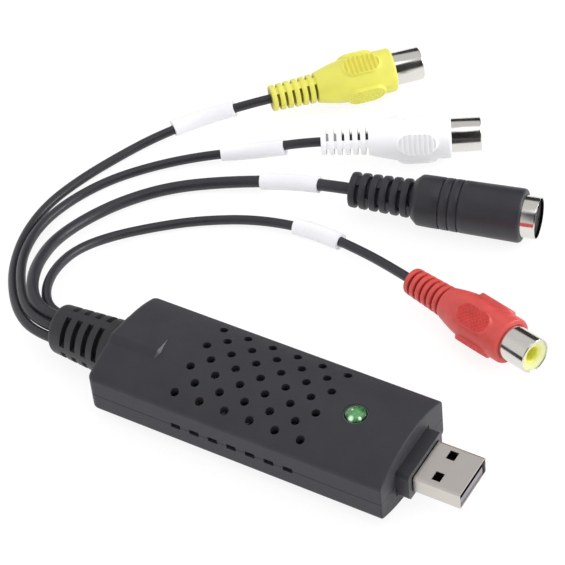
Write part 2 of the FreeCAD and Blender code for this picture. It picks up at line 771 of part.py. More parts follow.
def make_chips():
    leads = []
    for name, share, across, length, width, side_leads in CHIPS:
        middle = along_board(share)
        case = box(name, ("%s - %s / 2" % (middle, length), "%s - %s / 2" % (across, width),
                          "%s + chip_standoff" % BOARD_TOP), (length, width, "chip_height"))
        case.Label = name
        keep_node(case)
        for lead in range(side_leads):
            along = "%s + (%r) * %s / %d - lead_width / 2" % (
                middle, lead - (side_leads - 1) / 2, length, side_leads)
            for side, edge in (("near", "%s - %s / 2 - lead_reach" % (across, width)),
                               ("far", "%s + %s / 2" % (across, width))):
                leads.append(box("%s_%s_lead_%d" % (name, side, lead),
                                 (along, edge, BOARD_TOP),
                                 ("lead_width", "lead_reach", "lead_thickness")))
    keep_node(together("chip_leads", leads))


def make_board_parts():
    """Crystals, capacitors, resistors and the voltage regulator."""
    keep_node(together("crystals", [
        box("crystal_%d" % index, ("%s - crystal_length / 2" % along_board(CRYSTAL_SHARE),
                                   across, BOARD_TOP),
            ("crystal_length", "crystal_width", "crystal_height"))
        for index, across in enumerate(["4.2", "-4.2 - crystal_width"])]))
    keep_node(together("electrolytic_capacitors", [
        cylinder("electrolytic_%d" % index, (along_board(ELECTROLYTIC_SHARE), across,
                                             BOARD_TOP),
                 "electrolytic_diameter", "electrolytic_height")
        for index, across in enumerate(["-7.5", "-2.5", "2.5", "7.5"])]))
    ceramics = []
    resistors = []
    for index in range(8):
        across = "((%r) * 2 - ceramic_width / 2)" % (index - 3.5)
        ceramics.append(box("ceramic_%d" % index,
                            (along_board(CERAMIC_SHARE), across, BOARD_TOP),
                            ("ceramic_length", "ceramic_width", "ceramic_height")))
        resistors.append(box("resistor_%d" % index,
                             (along_board(RESISTOR_SHARE), across, BOARD_TOP),
                             ("ceramic_length", "ceramic_width", "resistor_height")))
    keep_node(together("ceramic_capacitors", ceramics))
    keep_node(together("resistors", resistors))
    regulator = box("voltage_regulator", ("%s - 16.5" % BOARD_FRONT, "6.6", BOARD_TOP),
                    ("3.5", "3.5", "chip_height"))
    regulator.Label = "voltage_regulator"
    keep_node(regulator)


# Button, switch and light

def make_switch_body():
    body = new_body("switch_body")
    base = sketch_on(body, "switch_base", "XY_Plane", "%s + switch_height / 2" % BOARD_TOP)
    rectangle(base, BUTTON_X, "0", "switch_width", "switch_width")
    extrude(body, "Pad", base, "switch_height")
    depth = "(switch_height - switch_bore_floor)"
    bore = sketch_on(body, "switch_bore", "XY_Plane", SWITCH_TOP)
    circle(bore, BUTTON_X, "0", "plunger_diameter + 2 * fit_clearance")
    extrude(body, "Pocket", bore, "2 * %s" % depth)
    return keep_node(body)


def make_plunger():
    foot = "%s + switch_bore_floor + plunger_foot_gap" % BOARD_TOP
    plunger = cylinder("switch_plunger", (BUTTON_X, "0", foot), "plunger_diameter",
                       "%s - (%s)" % (PLUNGER_TOP, foot))
    plunger.Label = "switch_plunger"
    return keep_node(plunger)


def make_button_cap():
    """Turned outline: stem, flange under the top cover, shaft in the hole and low dome."""
    body = new_body("button_cap")
    flange_top = "(%s - case_wall - cap_flange_drop)" % TOP
    flange_bottom = "(%s - cap_flange_thickness)" % flange_top
    stem = "(%s + cap_stem_diameter / 2)" % BUTTON_X
    flange = "(%s + cap_flange_diameter / 2)" % BUTTON_X
    shaft_radius = "(button_hole_diameter / 2 - button_gap)"
    shaft = "(%s + %s)" % (BUTTON_X, shaft_radius)
    apex = "(%s + cap_proud)" % TOP
    points = [(BUTTON_X, PLUNGER_TOP), (stem, PLUNGER_TOP), (stem, flange_bottom),
              (flange, flange_bottom), (flange, flange_top), (shaft, flange_top), (shaft, TOP),
              (BUTTON_X, apex)]
    sketch = sketch_on(body, "cap_outline", "XZ_Plane")
    places = [Vector(number(across), number(upward), 0) for across, upward in points]
    for start, end in zip(places[:6], places[1:7]):
        sketch.addGeometry(Part.LineSegment(start, end))
    radius = number(shaft_radius)
    rise = number("cap_proud")
    dome = (radius * radius + rise * rise) / (2 * rise)
    centre = Vector(places[7].x, places[7].y - dome, 0)
    lean = math.atan2(places[6].y - centre.y, radius)
    arc = sketch.addGeometry(Part.ArcOfCircle(
        Part.Circle(centre, Vector(0, 0, 1), dome), lean, math.pi / 2))
    axis = sketch.addGeometry(Part.LineSegment(places[7], places[0]))
    for index in range(5):
        sketch.addConstraint(Sketcher.Constraint("Coincident", index, 2, index + 1, 1))
    sketch.addConstraint(Sketcher.Constraint("Coincident", 5, 2, arc, 1))
    sketch.addConstraint(Sketcher.Constraint("Coincident", arc, 2, axis, 1))
    sketch.addConstraint(Sketcher.Constraint("Coincident", axis, 2, 0, 1))
    for index in range(6):
        fix_point(sketch, index, 1, *points[index])
    fix_point(sketch, 5, 2, *points[6])
    fix_point(sketch, axis, 1, *points[7])
    dimension(sketch, "Radius", (arc,),
              "(%s^2 + cap_proud^2) / (2 * cap_proud)" % shaft_radius)
    feature = body.newObject("PartDesign::Revolution", "cap_revolution")
    feature.Profile = sketch
    feature.ReferenceAxis = (sketch, ["Edge8"])
    feature.Angle = 360
    settle(body, feature)
    return keep_node(body)


def make_led():
    led = box("button_led", ("%s + switch_width / 2 + led_width / 2" % BUTTON_X,
                             "-led_width / 2", BOARD_TOP),
              ("led_length", "led_width", "led_height"))
    led.Label = "button_led"
    return keep_node(led)


# Cords: route points chosen by hand, the last two along the axis of the socket. The name
# of each route starts the names of the cord, its label and its socket.
# After the points come the names of the cord's diameter and of its label's length, and how
# far the label's middle lies past the point that it bends at.

ROUTES = {
    "yellow": ([(-52.5, -3.3, 7.2), (-57.5, -3.3, 7.2), (-64.6, 0.5, 6.1), (-72.0, 8.2, 4.2),
                (-78.0, 17.2, 2.4), (-81.9, 27.5, 1.5), (-82.8, 38.5, 1.3), (-80.2, 50.0, 1.3),
                (-75.6, 62.0, 1.4), (-71.2, 70.4, 1.9), (-64.0, 80.3, 2.7), (-53.9, 85.7, 6.6),
                (-49.7, 90.0, 6.6)], "rca_cord_diameter", "label_length", 0.3),
    "white": ([(-52.5, -1.35, 8.6), (-57.0, -1.35, 8.6), (-63.6, 2.0, 7.7), (-71.2, 10.6, 5.8),
               (-76.9, 20.0, 3.7), (-79.6, 30.6, 2.3), (-78.6, 41.5, 1.3), (-74.0, 51.9, 1.3),
               (-66.9, 60.7, 1.4), (-57.9, 68.3, 1.9), (-46.8, 74.6, 2.8), (-35.7, 78.3, 6.6),
               (-30.4, 81.3, 6.6)], "rca_cord_diameter", "label_length", 1.0),
    "svideo": ([(-52.5, 1.5, 8.7), (-57.4, 1.5, 8.7), (-62.4, 4.0, 9.5), (-66.4, 9.6, 9.0),
                (-69.8, 17.4, 6.9), (-72.0, 26.8, 4.2), (-70.6, 37.2, 2.4), (-66.2, 47.2, 1.6),
                (-58.6, 56.0, 1.6), (-48.0, 63.0, 1.7), (-34.0, 68.2, 3.2), (-21.8, 68.4, 6.5),
                (-15.5, 69.8, 6.5)], "svideo_cord_diameter", "label_length", 2.0),
    "red": ([(-52.5, 3.75, 7.2), (-56.3, 3.75, 7.2), (-60.1, 5.7, 7.5), (-63.2, 10.4, 7.4),
             (-65.2, 17.4, 6.2), (-65.4, 25.6, 4.4), (-62.2, 33.8, 2.6), (-55.6, 41.8, 1.5),
             (-46.2, 49.4, 1.3), (-33.2, 55.5, 1.7), (-18.7, 57.4, 2.4), (-4.5, 55.1, 3.2),
             (4.96, 52.19, 4.41), (11.42, 50.13, 4.93)],
            "rca_cord_diameter", "red_label_length", 0.3),
}

# The point of each route that its label bends at, and the most that the bend takes of the
# label's shorter end
LABEL_POINT = 10
LABEL_TURN_SHARE = 0.9

# A turn's arc starts this share of its shorter run away from the point.
TURN_SHARE = 0.45


def arc_at(before, corner, after, back):
    """The tangent arc at a corner, from its two ends and its radius."""
    inward = (before - corner).normalize()
    outward = (after - corner).normalize()
    turn = math.pi - inward.getAngle(outward)
    radius = back / math.tan(turn / 2)
    start = corner + inward * back
    end = corner + outward * back
    bisector = (inward + outward).normalize()
    middle = corner + bisector * (math.hypot(radius, back) - radius)
    return start, middle, end, radius, radius * turn


def cord_path(points, backs):
    """Straight runs joined by tangent arcs, as a wire, with its length and its radii."""
    edges = []
    radii = []
    length = 0.0
    last = points[0]
    for index in range(1, len(points) - 1):
        start, middle, end, radius, bend = arc_at(
            points[index - 1], points[index], points[index + 1], backs[index])
        edges.append(Part.LineSegment(last, start).toShape())
        edges.append(Part.Arc(start, middle, end).toShape())
        length += last.distanceToPoint(start) + bend
        radii.append(radius)
        last = end
    edges.append(Part.LineSegment(last, points[-1]).toShape())
    length += last.distanceToPoint(points[-1])
    return Part.Wire(edges), length, radii


def tube_along(wire, diameter):
    """A round solid along the wire, square to it at both ends."""
    start = wire.Edges[0]
    foot = start.valueAt(start.FirstParameter)
    heading = start.tangentAt(start.FirstParameter)
    profile = Part.Wire([Part.makeCircle(diameter / 2, foot, heading)])
    return Part.Wire(wire).makePipeShell([profile], True, False)


def make_cord(name):
    """The cord's tube, its label sleeve and the place of its socket."""
    rows, diameter_name, label_name, label_shift = ROUTES[name]
    points = [Vector(*row) for row in rows]
    points[0].x = number(CABLE_END)
    runs = [start.distanceToPoint(end) for start, end in zip(points, points[1:])]
    backs = [0.0] + [TURN_SHARE * min(pair) for pair in zip(runs, runs[1:])] + [0.0]
    diameter = VALUES[diameter_name]
    wire, length, radii = cord_path(points, backs)
    tube = tube_along(wire, diameter)
    section = math.pi * diameter * diameter / 4
    if abs(tube.Volume / (section * length) - 1) > 0.01:
        raise RuntimeError("%s cord has the wrong volume" % name)
    print("%s cord: %.1f mm, radii %s" % (
        name, length, ", ".join("%.1f" % radius for radius in radii)))
    cord = doc.addObject("Part::Feature", name + "_cord")
    cord.Label = name + "_cord"
    cord.Shape = tube
    cord.Placement = Placement()
    keep_node(cord)

    corner = points[LABEL_POINT]
    half = VALUES[label_name] / 2
    reaches = ((points[LABEL_POINT - 1], half - label_shift),
               (points[LABEL_POINT + 1], half + label_shift))
    ends = [corner + (neighbour - corner).normalize() * reach for neighbour, reach in reaches]
    back = min(backs[LABEL_POINT], LABEL_TURN_SHARE * min(reach for _, reach in reaches))
    sleeve_wire, _, _ = cord_path([ends[0], corner, ends[1]], [0.0, back, 0.0])
    bore = diameter + 2 * VALUES["label_bore_clearance"]
    sleeve = tube_along(sleeve_wire, VALUES["label_diameter"]).cut(
        tube_along(sleeve_wire, bore))
    label = doc.addObject("Part::Feature", name + "_label")
    label.Label = name + "_label"
    label.Shape = sleeve
    label.Placement = Placement()
    keep_node(label)

    heading = points[-1] - points[-2]
    turn = math.degrees(math.atan2(heading.y, heading.x))
    climb = math.degrees(math.asin(heading.z / heading.Length))
    swing = Rotation(Vector(0, 0, 1), turn).multiply(Rotation(Vector(0, 1, 0), -climb))
    return Placement(points[-1], swing)


# Strain relief

def make_strain_relief():
    """Oval tapered sleeve with rows of slots, a neck through the wall and an inner flange."""
    rear = number(REAR)
    end = number(CABLE_END)
    seam = number(SEAM)
    length = VALUES["relief_length"]

    def oval(x, inset=0.0):
        share = (x - end) / length
        wide = VALUES["relief_end_width"] + share * (
            VALUES["relief_case_width"] - VALUES["relief_end_width"])
        tall = VALUES["relief_end_height"] + share * (
            VALUES["relief_case_height"] - VALUES["relief_end_height"])
        wide = wide / 2 - inset
        tall = tall / 2 - inset
        ellipse = Part.Ellipse(Vector(0, 0, 0), max(wide, tall), min(wide, tall)).toShape()
        if tall > wide:
            ellipse.rotate(Vector(), Vector(0, 0, 1), 90)
        ring = Part.Wire([ellipse])
        ring.rotate(Vector(), Vector(1, 1, 1), 120)
        ring.translate(Vector(x, 0, seam))
        return ring

    outside = Part.makeLoft([oval(end), oval(rear)], True, True)
    rim = [edge for edge in outside.Edges
           if edge.BoundBox.XLength < 0.01 and abs(edge.BoundBox.XMin - end) < 0.01]
    outside = outside.makeFillet(VALUES["relief_edge_radius"], rim)
    depth = VALUES["relief_slot_depth"]
    core = Part.makeLoft([oval(end, depth), oval(rear, depth)], True, True)
    wide = VALUES["relief_case_width"]
    tall = VALUES["relief_case_height"]
    top_spine = VALUES["relief_top_spine"]
    side_spine = VALUES["relief_side_spine"]
    slot_width = VALUES["relief_slot_width"]
    for slot in range(count("relief_slot_count")):
        x = end + VALUES["relief_end_flange"] + slot * VALUES["relief_slot_pitch"]
        ring = Part.makeBox(slot_width, 2 * wide, 2 * tall, Vector(x, -wide, seam - tall))
        upright = Part.makeBox(slot_width, top_spine, 2 * tall,
                               Vector(x, -top_spine / 2, seam - tall))
        level = Part.makeBox(slot_width, 2 * wide, side_spine,
                             Vector(x, -wide, seam - side_spine / 2))
        outside = outside.cut(ring.cut(core).cut(upright).cut(level))
    forward = Vector(1, 0, 0)
    neck = Part.makeCylinder(VALUES["relief_neck_diameter"] / 2, VALUES["case_wall"],
                             Vector(rear, 0, seam), forward)
    flange = Part.makeCylinder(VALUES["relief_flange_diameter"] / 2,
                               VALUES["relief_flange_thickness"],
                               Vector(rear + VALUES["case_wall"], 0, seam), forward)
    relief = doc.addObject("Part::Feature", "strain_relief")
    relief.Label = "strain_relief"
    relief.Shape = outside.fuse([neck, flange]).removeSplitter()
    relief.Placement = Placement()
    return keep_node(relief)


def make_wire_tails():
    """Inner ends of the cords, laid on the board and soldered down."""
    tails = []
    joints = []
    reach = "(%s + wire_tail_overlap - %s)" % (BOARD_REAR, RELIEF_INSIDE)
    for index, name in enumerate(ROUTES):
        across = "%r" % ROUTES[name][0][0][1]
        tails.append(cylinder("wire_tail_%d" % index,
                              (RELIEF_INSIDE, across, "%s + wire_tail_diameter / 2" % BOARD_TOP),
                              "wire_tail_diameter", reach, along_x=True))
        joint = doc.addObject("Part::Cone", "solder_joint_%d" % index)
        foot = ("%s + %s + solder_diameter / 2" % (RELIEF_INSIDE, reach), across, BOARD_TOP)
        for axis, expression in zip("xyz", foot):
            joint.setExpression("Placement.Base." + axis, formula(expression))
        joint.setExpression("Radius1", formula("solder_diameter / 2"))
        joint.setExpression("Radius2", formula("solder_diameter / 4"))
        joint.setExpression("Height", formula("solder_height"))
        joints.append(joint)
    keep_node(together("wire_tails", tails))
    keep_node(together("solder_joints", joints))


# Sockets at the cord ends, each made along X from the end of its cord and then placed

def ribbed_neck(neck_length, rib_count, slot_width, end_diameter, root_diameter, core_diameter):
    """Outline points of a neck whose ribs widen towards the body, cut by slots."""
    points = []
    ribs = count(rib_count)
    for rib in range(ribs):
        start = "(%d * %s / %s)" % (rib, neck_length, rib_count)
        stop = "(%d * %s / %s - %s)" % (rib + 1, neck_length, rib_count, slot_width)
        radius = "(%s / 2 + %d * (%s - %s) / 2 / %s)" % (
            end_diameter, rib, root_diameter, end_diameter, rib_count)
        core = "(%s / 2)" % core_diameter
        points += [(start, radius), (stop, radius), (stop, core)]
        if rib + 1 < ribs:
            points.append(("(%d * %s / %s)" % (rib + 1, neck_length, rib_count), core))
    return points


def spines(body, name, sizes_of, plane_name, slots):
    """Pairs of short spines that bridge some of a neck's slots, across from each other."""
    length, rib_count, slot_width, end_diameter, root_diameter, width, drop = sizes_of
    sketch = sketch_on(body, "%s_%s_spines" % (name, plane_name[:2].lower()), plane_name)
    for slot in slots:
        middle = "(%d * %s / %s - %s / 2)" % (slot, length, rib_count, slot_width)
        reach = "(%s + %d * (%s - %s) / %s - 2 * %s)" % (
            end_diameter, slot - 1, root_diameter, end_diameter, rib_count, drop)
        rectangle(sketch, middle, "0", "(%s + 2 * spine_overlap)" % slot_width, reach)
    extrude(body, "Pad", sketch, width)


RCA_FRONT = "(rca_neck_length + rca_body_length)"
RCA_TIP = "(%s + rca_shell_length)" % RCA_FRONT
RCA_SOCKET = "(%s - rca_shell_sunk)" % RCA_FRONT


def make_rca_boot(name, place):
    body = new_body(name + "_boot")
    bore = "(rca_shell_diameter / 2 - rca_shell_step + socket_clearance)"
    points = [("0", "0")]
    points += ribbed_neck("rca_neck_length", "rca_rib_count", "rca_slot_width",
                          "rca_neck_end_diameter", "rca_neck_root_diameter",
                          "rca_neck_core_diameter")
    points += [
        ("rca_neck_length", "rca_neck_core_diameter / 2"),
        ("rca_neck_length", "rca_shoulder_diameter / 2"),
        ("rca_neck_length + rca_shoulder_length", "rca_body_diameter / 2"),
        (RCA_FRONT, "rca_body_diameter / 2"),
        (RCA_FRONT, bore), (RCA_SOCKET, bore), (RCA_SOCKET, "0"),
    ]
    outline = sketch_on(body, name + "_boot_outline", "XZ_Plane")
    polygon(outline, points)
    revolve(body, outline, "X_Axis")
    spines(body, name, ("rca_neck_length", "rca_rib_count", "rca_slot_width",
                        "rca_neck_end_diameter", "rca_neck_root_diameter", "rca_spine_width",
                        "rca_spine_drop"),
           "XZ_Plane", range(1, count("rca_rib_count") + 1))
    for plane_name, turn in (("XY_Plane", "level"), ("XZ_Plane", "upright")):
        grip = sketch_on(body, "%s_%s_grip" % (name, turn), plane_name)
        stadium(grip, "%s - rca_grip_from_end" % RCA_FRONT, "0", "rca_grip_length",
                "rca_grip_width")
        extrude(body, "Pad", grip, "2 * rca_grip_reach")
    body.Placement = place
    return keep_node(body)


def turned(label, place, points):
    """A piece turned about its own X axis from an outline."""
    body = new_body(label)
    outline = sketch_on(body, label + "_outline", "XZ_Plane")
    polygon(outline, points)
    revolve(body, outline, "X_Axis")
    body.Placement = place
    return keep_node(body)


def ring_outline(start, end, inner, outer):
    return [(start, inner), (end, inner), (end, outer), (start, outer)]


def make_rca_socket(name, place, roll):
    """Boot, shell, insulator and spring contact of one RCA socket."""
    turned_place = place.multiply(Placement(Vector(), Rotation(Vector(1, 0, 0), roll)))
    make_rca_boot(name, turned_place)
    shell_outer = "(rca_shell_diameter / 2)"
    shell_inner = "(rca_shell_diameter / 2 - rca_shell_wall)"
    root = "(rca_shell_diameter / 2 - rca_shell_step)"
    turned(name + "_shell", turned_place, [
        (RCA_SOCKET, shell_inner), (RCA_TIP, shell_inner), (RCA_TIP, shell_outer),
        (RCA_FRONT, shell_outer), (RCA_FRONT, root), (RCA_SOCKET, root)])
    face = "(%s - rca_insulator_recess)" % RCA_TIP
    turned(name + "_insulator", turned_place,
           ring_outline(RCA_SOCKET, face, "(rca_pin_bore / 2 + rca_contact_wall)",
                        "(%s - socket_clearance)" % shell_inner))
    turned(name + "_contact", turned_place,
           ring_outline(RCA_SOCKET, "(%s - rca_contact_recess)" % face, "(rca_pin_bore / 2)",
                        "(rca_pin_bore / 2 + rca_contact_wall - socket_clearance)"))


SVIDEO_FRONT = "(svideo_neck_length + svideo_body_length)"
SVIDEO_TIP = "(%s + svideo_shell_length)" % SVIDEO_FRONT
SVIDEO_SOCKET = "(%s - svideo_shell_sunk)" % SVIDEO_FRONT


def make_svideo_boot(place):
    body = new_body("svideo_boot")
    bore = "(svideo_shell_diameter / 2 + socket_clearance)"
    groove_radius = "(svideo_body_root_diameter / 2 - svideo_groove_depth)"
    points = [("0", "0")]
    points += ribbed_neck("svideo_neck_length", "svideo_rib_count", "svideo_slot_width",
                          "svideo_neck_end_diameter", "svideo_neck_root_diameter",
                          "svideo_neck_core_diameter")
    points += [
        ("svideo_neck_length", "svideo_neck_core_diameter / 2"),
        ("svideo_neck_length", "svideo_neck_root_diameter / 2"),
        ("svideo_neck_length + svideo_shoulder_length", "svideo_body_root_diameter / 2"),
    ]
    for groove in range(count("svideo_groove_count")):
        start = "svideo_neck_length + svideo_groove_start + %d * svideo_groove_pitch" % groove
        stop = start + " + svideo_groove_width"
        points += [(start, "svideo_body_root_diameter / 2"), (start, groove_radius),
                   (stop, groove_radius), (stop, "svideo_body_root_diameter / 2")]
    points += [
        (SVIDEO_FRONT, "svideo_body_diameter / 2"),
        (SVIDEO_FRONT, bore), (SVIDEO_SOCKET, bore), (SVIDEO_SOCKET, "0"),
    ]
    outline = sketch_on(body, "svideo_boot_outline", "XZ_Plane")
    polygon(outline, points)
    revolve(body, outline, "X_Axis")
    neck = ("svideo_neck_length", "svideo_rib_count", "svideo_slot_width",
            "svideo_neck_end_diameter", "svideo_neck_root_diameter", "svideo_spine_width",
            "svideo_spine_drop")
    slots = count("svideo_rib_count") + 1
    spines(body, "svideo", neck, "XZ_Plane", range(1, slots, 2))
    spines(body, "svideo", neck, "XY_Plane", range(2, slots, 2))
    body.Placement = place
    return keep_node(body)


def svideo_contact_places():
    """The middles of the four pin holes, in front of the socket."""
    for quarter in range(4):
        turn = math.radians(45 + 90 * quarter)
        yield ("(%r) * svideo_contact_circle / 2" % math.cos(turn),
               "(%r) * svideo_contact_circle / 2" % math.sin(turn))


def make_svideo_socket(place):
    make_svideo_boot(place)
    outer = "(svideo_shell_diameter / 2)"
    inner = "(svideo_shell_diameter / 2 - svideo_shell_wall)"
    turned("svideo_shell", place, ring_outline(SVIDEO_SOCKET, SVIDEO_TIP, inner, outer))
    face = "(%s - svideo_core_recess)" % SVIDEO_TIP
    core = new_body("svideo_core")
    disc = sketch_on(core, "core_disc", "YZ_Plane", "(%s + %s) / 2" % (SVIDEO_SOCKET, face))
    circle(disc, "0", "0", "2 * (%s - socket_clearance)" % inner)
    extrude(core, "Pad", disc, "%s - %s" % (face, SVIDEO_SOCKET))
    holes = sketch_on(core, "core_holes", "YZ_Plane", face)
    for across, upward in svideo_contact_places():
        circle(holes, across, upward, "svideo_contact_diameter + 2 * socket_clearance")
    extrude(core, "Pocket", holes, "2 * (svideo_contact_length + svideo_core_recess)")
    core.Placement = place
    keep_node(core)
    contacts = new_body("svideo_contacts")
    foot = "(%s - svideo_contact_length - svideo_core_recess)" % face
    pins = sketch_on(contacts, "contact_pins", "YZ_Plane",
                     "%s + svideo_contact_length / 2" % foot)
    for across, upward in svideo_contact_places():
        circle(pins, across, upward, "svideo_contact_diameter")
    extrude(contacts, "Pad", pins, "svideo_contact_length")
    contacts.Placement = place
    keep_node(contacts)


# How far each RCA socket is rolled about its own axis, as it lies
ROLLS = {"yellow": 8.0, "white": 65.0, "red": 128.0}


def check_document():
    for item in doc.Objects:
        if "Invalid" in item.State or "Error" in item.State:
            raise RuntimeError("%s failed: %s" % (item.Name, item.State))
    for node in NODES:
        if node.Shape.isNull() or not node.Shape.isValid():
            raise RuntimeError("%s has no valid shape" % node.Label)


def write_parts():
    os.makedirs("parts", exist_ok=True)
    for node in NODES:
        node.Shape.exportStep("parts/%s.step" % node.Label)
        print("%-26s %2d solids %10.2f mm3" % (
            node.Label, len(node.Shape.Solids), node.Shape.Volume))


make_top_cover()
make_bottom_cover()
make_plug_collar()
make_plug_shell()
make_plug_insulator()
make_plug_contacts()
make_board()
make_chips()
make_board_parts()
make_switch_body()
make_plunger()
make_button_cap()
make_led()
make_strain_relief()
make_wire_tails()
for route_name in ROUTES:
    socket_place = make_cord(route_name)
    if route_name == "svideo":
        make_svideo_socket(socket_place)
    else:
        make_rca_socket("%s_rca" % route_name, socket_place, ROLLS[route_name])
doc.recompute()
check_document()
write_parts()
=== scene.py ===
"""Looks of a USB video capture adapter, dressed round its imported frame. Metres, +Z up."""
import math

import bpy
from mathutils import Matrix, Vector


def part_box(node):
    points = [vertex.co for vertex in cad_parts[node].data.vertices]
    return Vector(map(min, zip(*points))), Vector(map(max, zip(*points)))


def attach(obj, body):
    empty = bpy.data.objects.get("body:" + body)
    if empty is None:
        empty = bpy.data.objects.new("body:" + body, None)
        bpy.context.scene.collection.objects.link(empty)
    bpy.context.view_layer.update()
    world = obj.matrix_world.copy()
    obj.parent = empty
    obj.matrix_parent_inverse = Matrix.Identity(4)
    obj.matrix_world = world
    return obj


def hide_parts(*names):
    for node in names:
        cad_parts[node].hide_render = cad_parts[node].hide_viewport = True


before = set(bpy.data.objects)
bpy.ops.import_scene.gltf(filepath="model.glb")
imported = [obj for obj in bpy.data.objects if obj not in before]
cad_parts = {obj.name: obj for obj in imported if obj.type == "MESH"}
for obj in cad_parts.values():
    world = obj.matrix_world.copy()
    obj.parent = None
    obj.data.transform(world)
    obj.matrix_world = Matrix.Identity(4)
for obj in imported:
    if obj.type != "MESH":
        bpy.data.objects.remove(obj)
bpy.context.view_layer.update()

MM = 0.001
BODY = "adapter"
BUTTON_BODY = "snapshot_button"

# Camera, from the photograph's perspective: degrees, metres, and the lens in millimetres
AZIMUTH = 34.646
ELEVATION = 44.465
ROLL = -6.361
CAMERA_PLACE = Vector((0.2214, -0.3061, 0.4139))
LENS = 161.65
SENSOR = 36.0

# Cord routes in millimetres, the last two points along the axis of the socket
ROUTES = {
    "yellow": [(-52.5, -3.3, 7.2), (-57.5, -3.3, 7.2), (-64.6, 0.5, 6.1), (-72.0, 8.2, 4.2),
               (-78.0, 17.2, 2.4), (-81.9, 27.5, 1.5), (-82.8, 38.5, 1.3), (-80.2, 50.0, 1.3),
               (-75.6, 62.0, 1.4), (-71.2, 70.4, 1.9), (-64.0, 80.3, 2.7), (-53.9, 85.7, 6.6),
               (-49.7, 90.0, 6.6)],
    "white": [(-52.5, -1.35, 8.6), (-57.0, -1.35, 8.6), (-63.6, 2.0, 7.7), (-71.2, 10.6, 5.8),
              (-76.9, 20.0, 3.7), (-79.6, 30.6, 2.3), (-78.6, 41.5, 1.3), (-74.0, 51.9, 1.3),
              (-66.9, 60.7, 1.4), (-57.9, 68.3, 1.9), (-46.8, 74.6, 2.8), (-35.7, 78.3, 6.6),
              (-30.4, 81.3, 6.6)],
    "svideo": [(-52.5, 1.5, 8.7), (-57.4, 1.5, 8.7), (-62.4, 4.0, 9.5), (-66.4, 9.6, 9.0),
               (-69.8, 17.4, 6.9), (-72.0, 26.8, 4.2), (-70.6, 37.2, 2.4), (-66.2, 47.2, 1.6),
               (-58.6, 56.0, 1.6), (-48.0, 63.0, 1.7), (-34.0, 68.2, 3.2), (-21.8, 68.4, 6.5),
               (-15.5, 69.8, 6.5)],
    "red": [(-52.5, 3.75, 7.2), (-56.3, 3.75, 7.2), (-60.1, 5.7, 7.5), (-63.2, 10.4, 7.4),
            (-65.2, 17.4, 6.2), (-65.4, 25.6, 4.4), (-62.2, 33.8, 2.6), (-55.6, 41.8, 1.5),
            (-46.2, 49.4, 1.3), (-33.2, 55.5, 1.7), (-18.7, 57.4, 2.4), (-4.5, 55.1, 3.2),
            (4.96, 52.19, 4.41), (11.42, 50.13, 4.93)],
}

# Cord diameters in millimetres, and how far each socket is rolled, in degrees
CORD_DIAMETER = {"yellow": 2.3, "white": 2.3, "svideo": 2.9, "red": 2.3}
SOCKET_ROLL = {"yellow": 17.0, "white": 67.0, "svideo": 5.0, "red": 126.0}

# Labels in millimetres: length, how far the middle lies past point LABEL_POINT of the route,
# and how far the two ends stand above the cord's centre
LABEL_POINT = 10
LABELS = {"yellow": (16.2, 0.3, 0.5, 0.0), "white": (16.2, 1.0, 0.4, -0.5),
          "svideo": (15.7, 3.0, 0.0, 0.0), "red": (12.6, 1.1, 0.1, -0.1)}
LABEL_HALF_WIDTH = 2.08
LABEL_HALF_HEIGHT = 1.98
LABEL_RIPPLE = 0.03
LABEL_FOLD_GAP = 0.06

# Button cap in millimetres: a clear green dome on a stem, with a flange under the case's top,
# whose heights are those above the origin
BUTTON_RADIUS = 2.3
DOME_RISE = 0.8
CAP_STEM_RADIUS = 1.5
CAP_FLANGE_RADIUS = 3.2
CAP_FLANGE_LOW = 13.3
CAP_FLANGE_HIGH = 14.1

# Its tones from the middle to the rim, painted light in the middle and painted shade at the rim,
# where that middle lies off the axis, the size of its facets, and its painted glints, each with
# its place off the axis and its radius
LENS_LIGHT_AND_SHADE_STOPS = [(0.0, "43874a"), (0.45, "38793f"), (0.7, "265e2f"), (0.84, "123c1b"),
              (1.0, "08200e")]
LENS_PAINTED_LIGHT_SHIFT = (0.14, -0.2)
FACET_SIZE = 0.9
PAINTED_GLINTS = [((-0.15, -1.9), 0.75), ((1.6, -1.05), 0.45), ((-0.85, 0.13), 0.3)]


# Node helpers for the finishes

def linear(code):
    """Linear colour of a screen colour written as six hex digits."""
    channels = [int(code[start:start + 2], 16) / 255 for start in (0, 2, 4)]
    return tuple(c / 12.92 if c <= 0.04045 else ((c + 0.055) / 1.055) ** 2.4
                 for c in channels) + (1.0,)


def scaled(colour, factor):
    """A colour with its channels multiplied, none over 1."""
    return tuple(min(1.0, c * factor) for c in colour[:3]) + (1.0,)


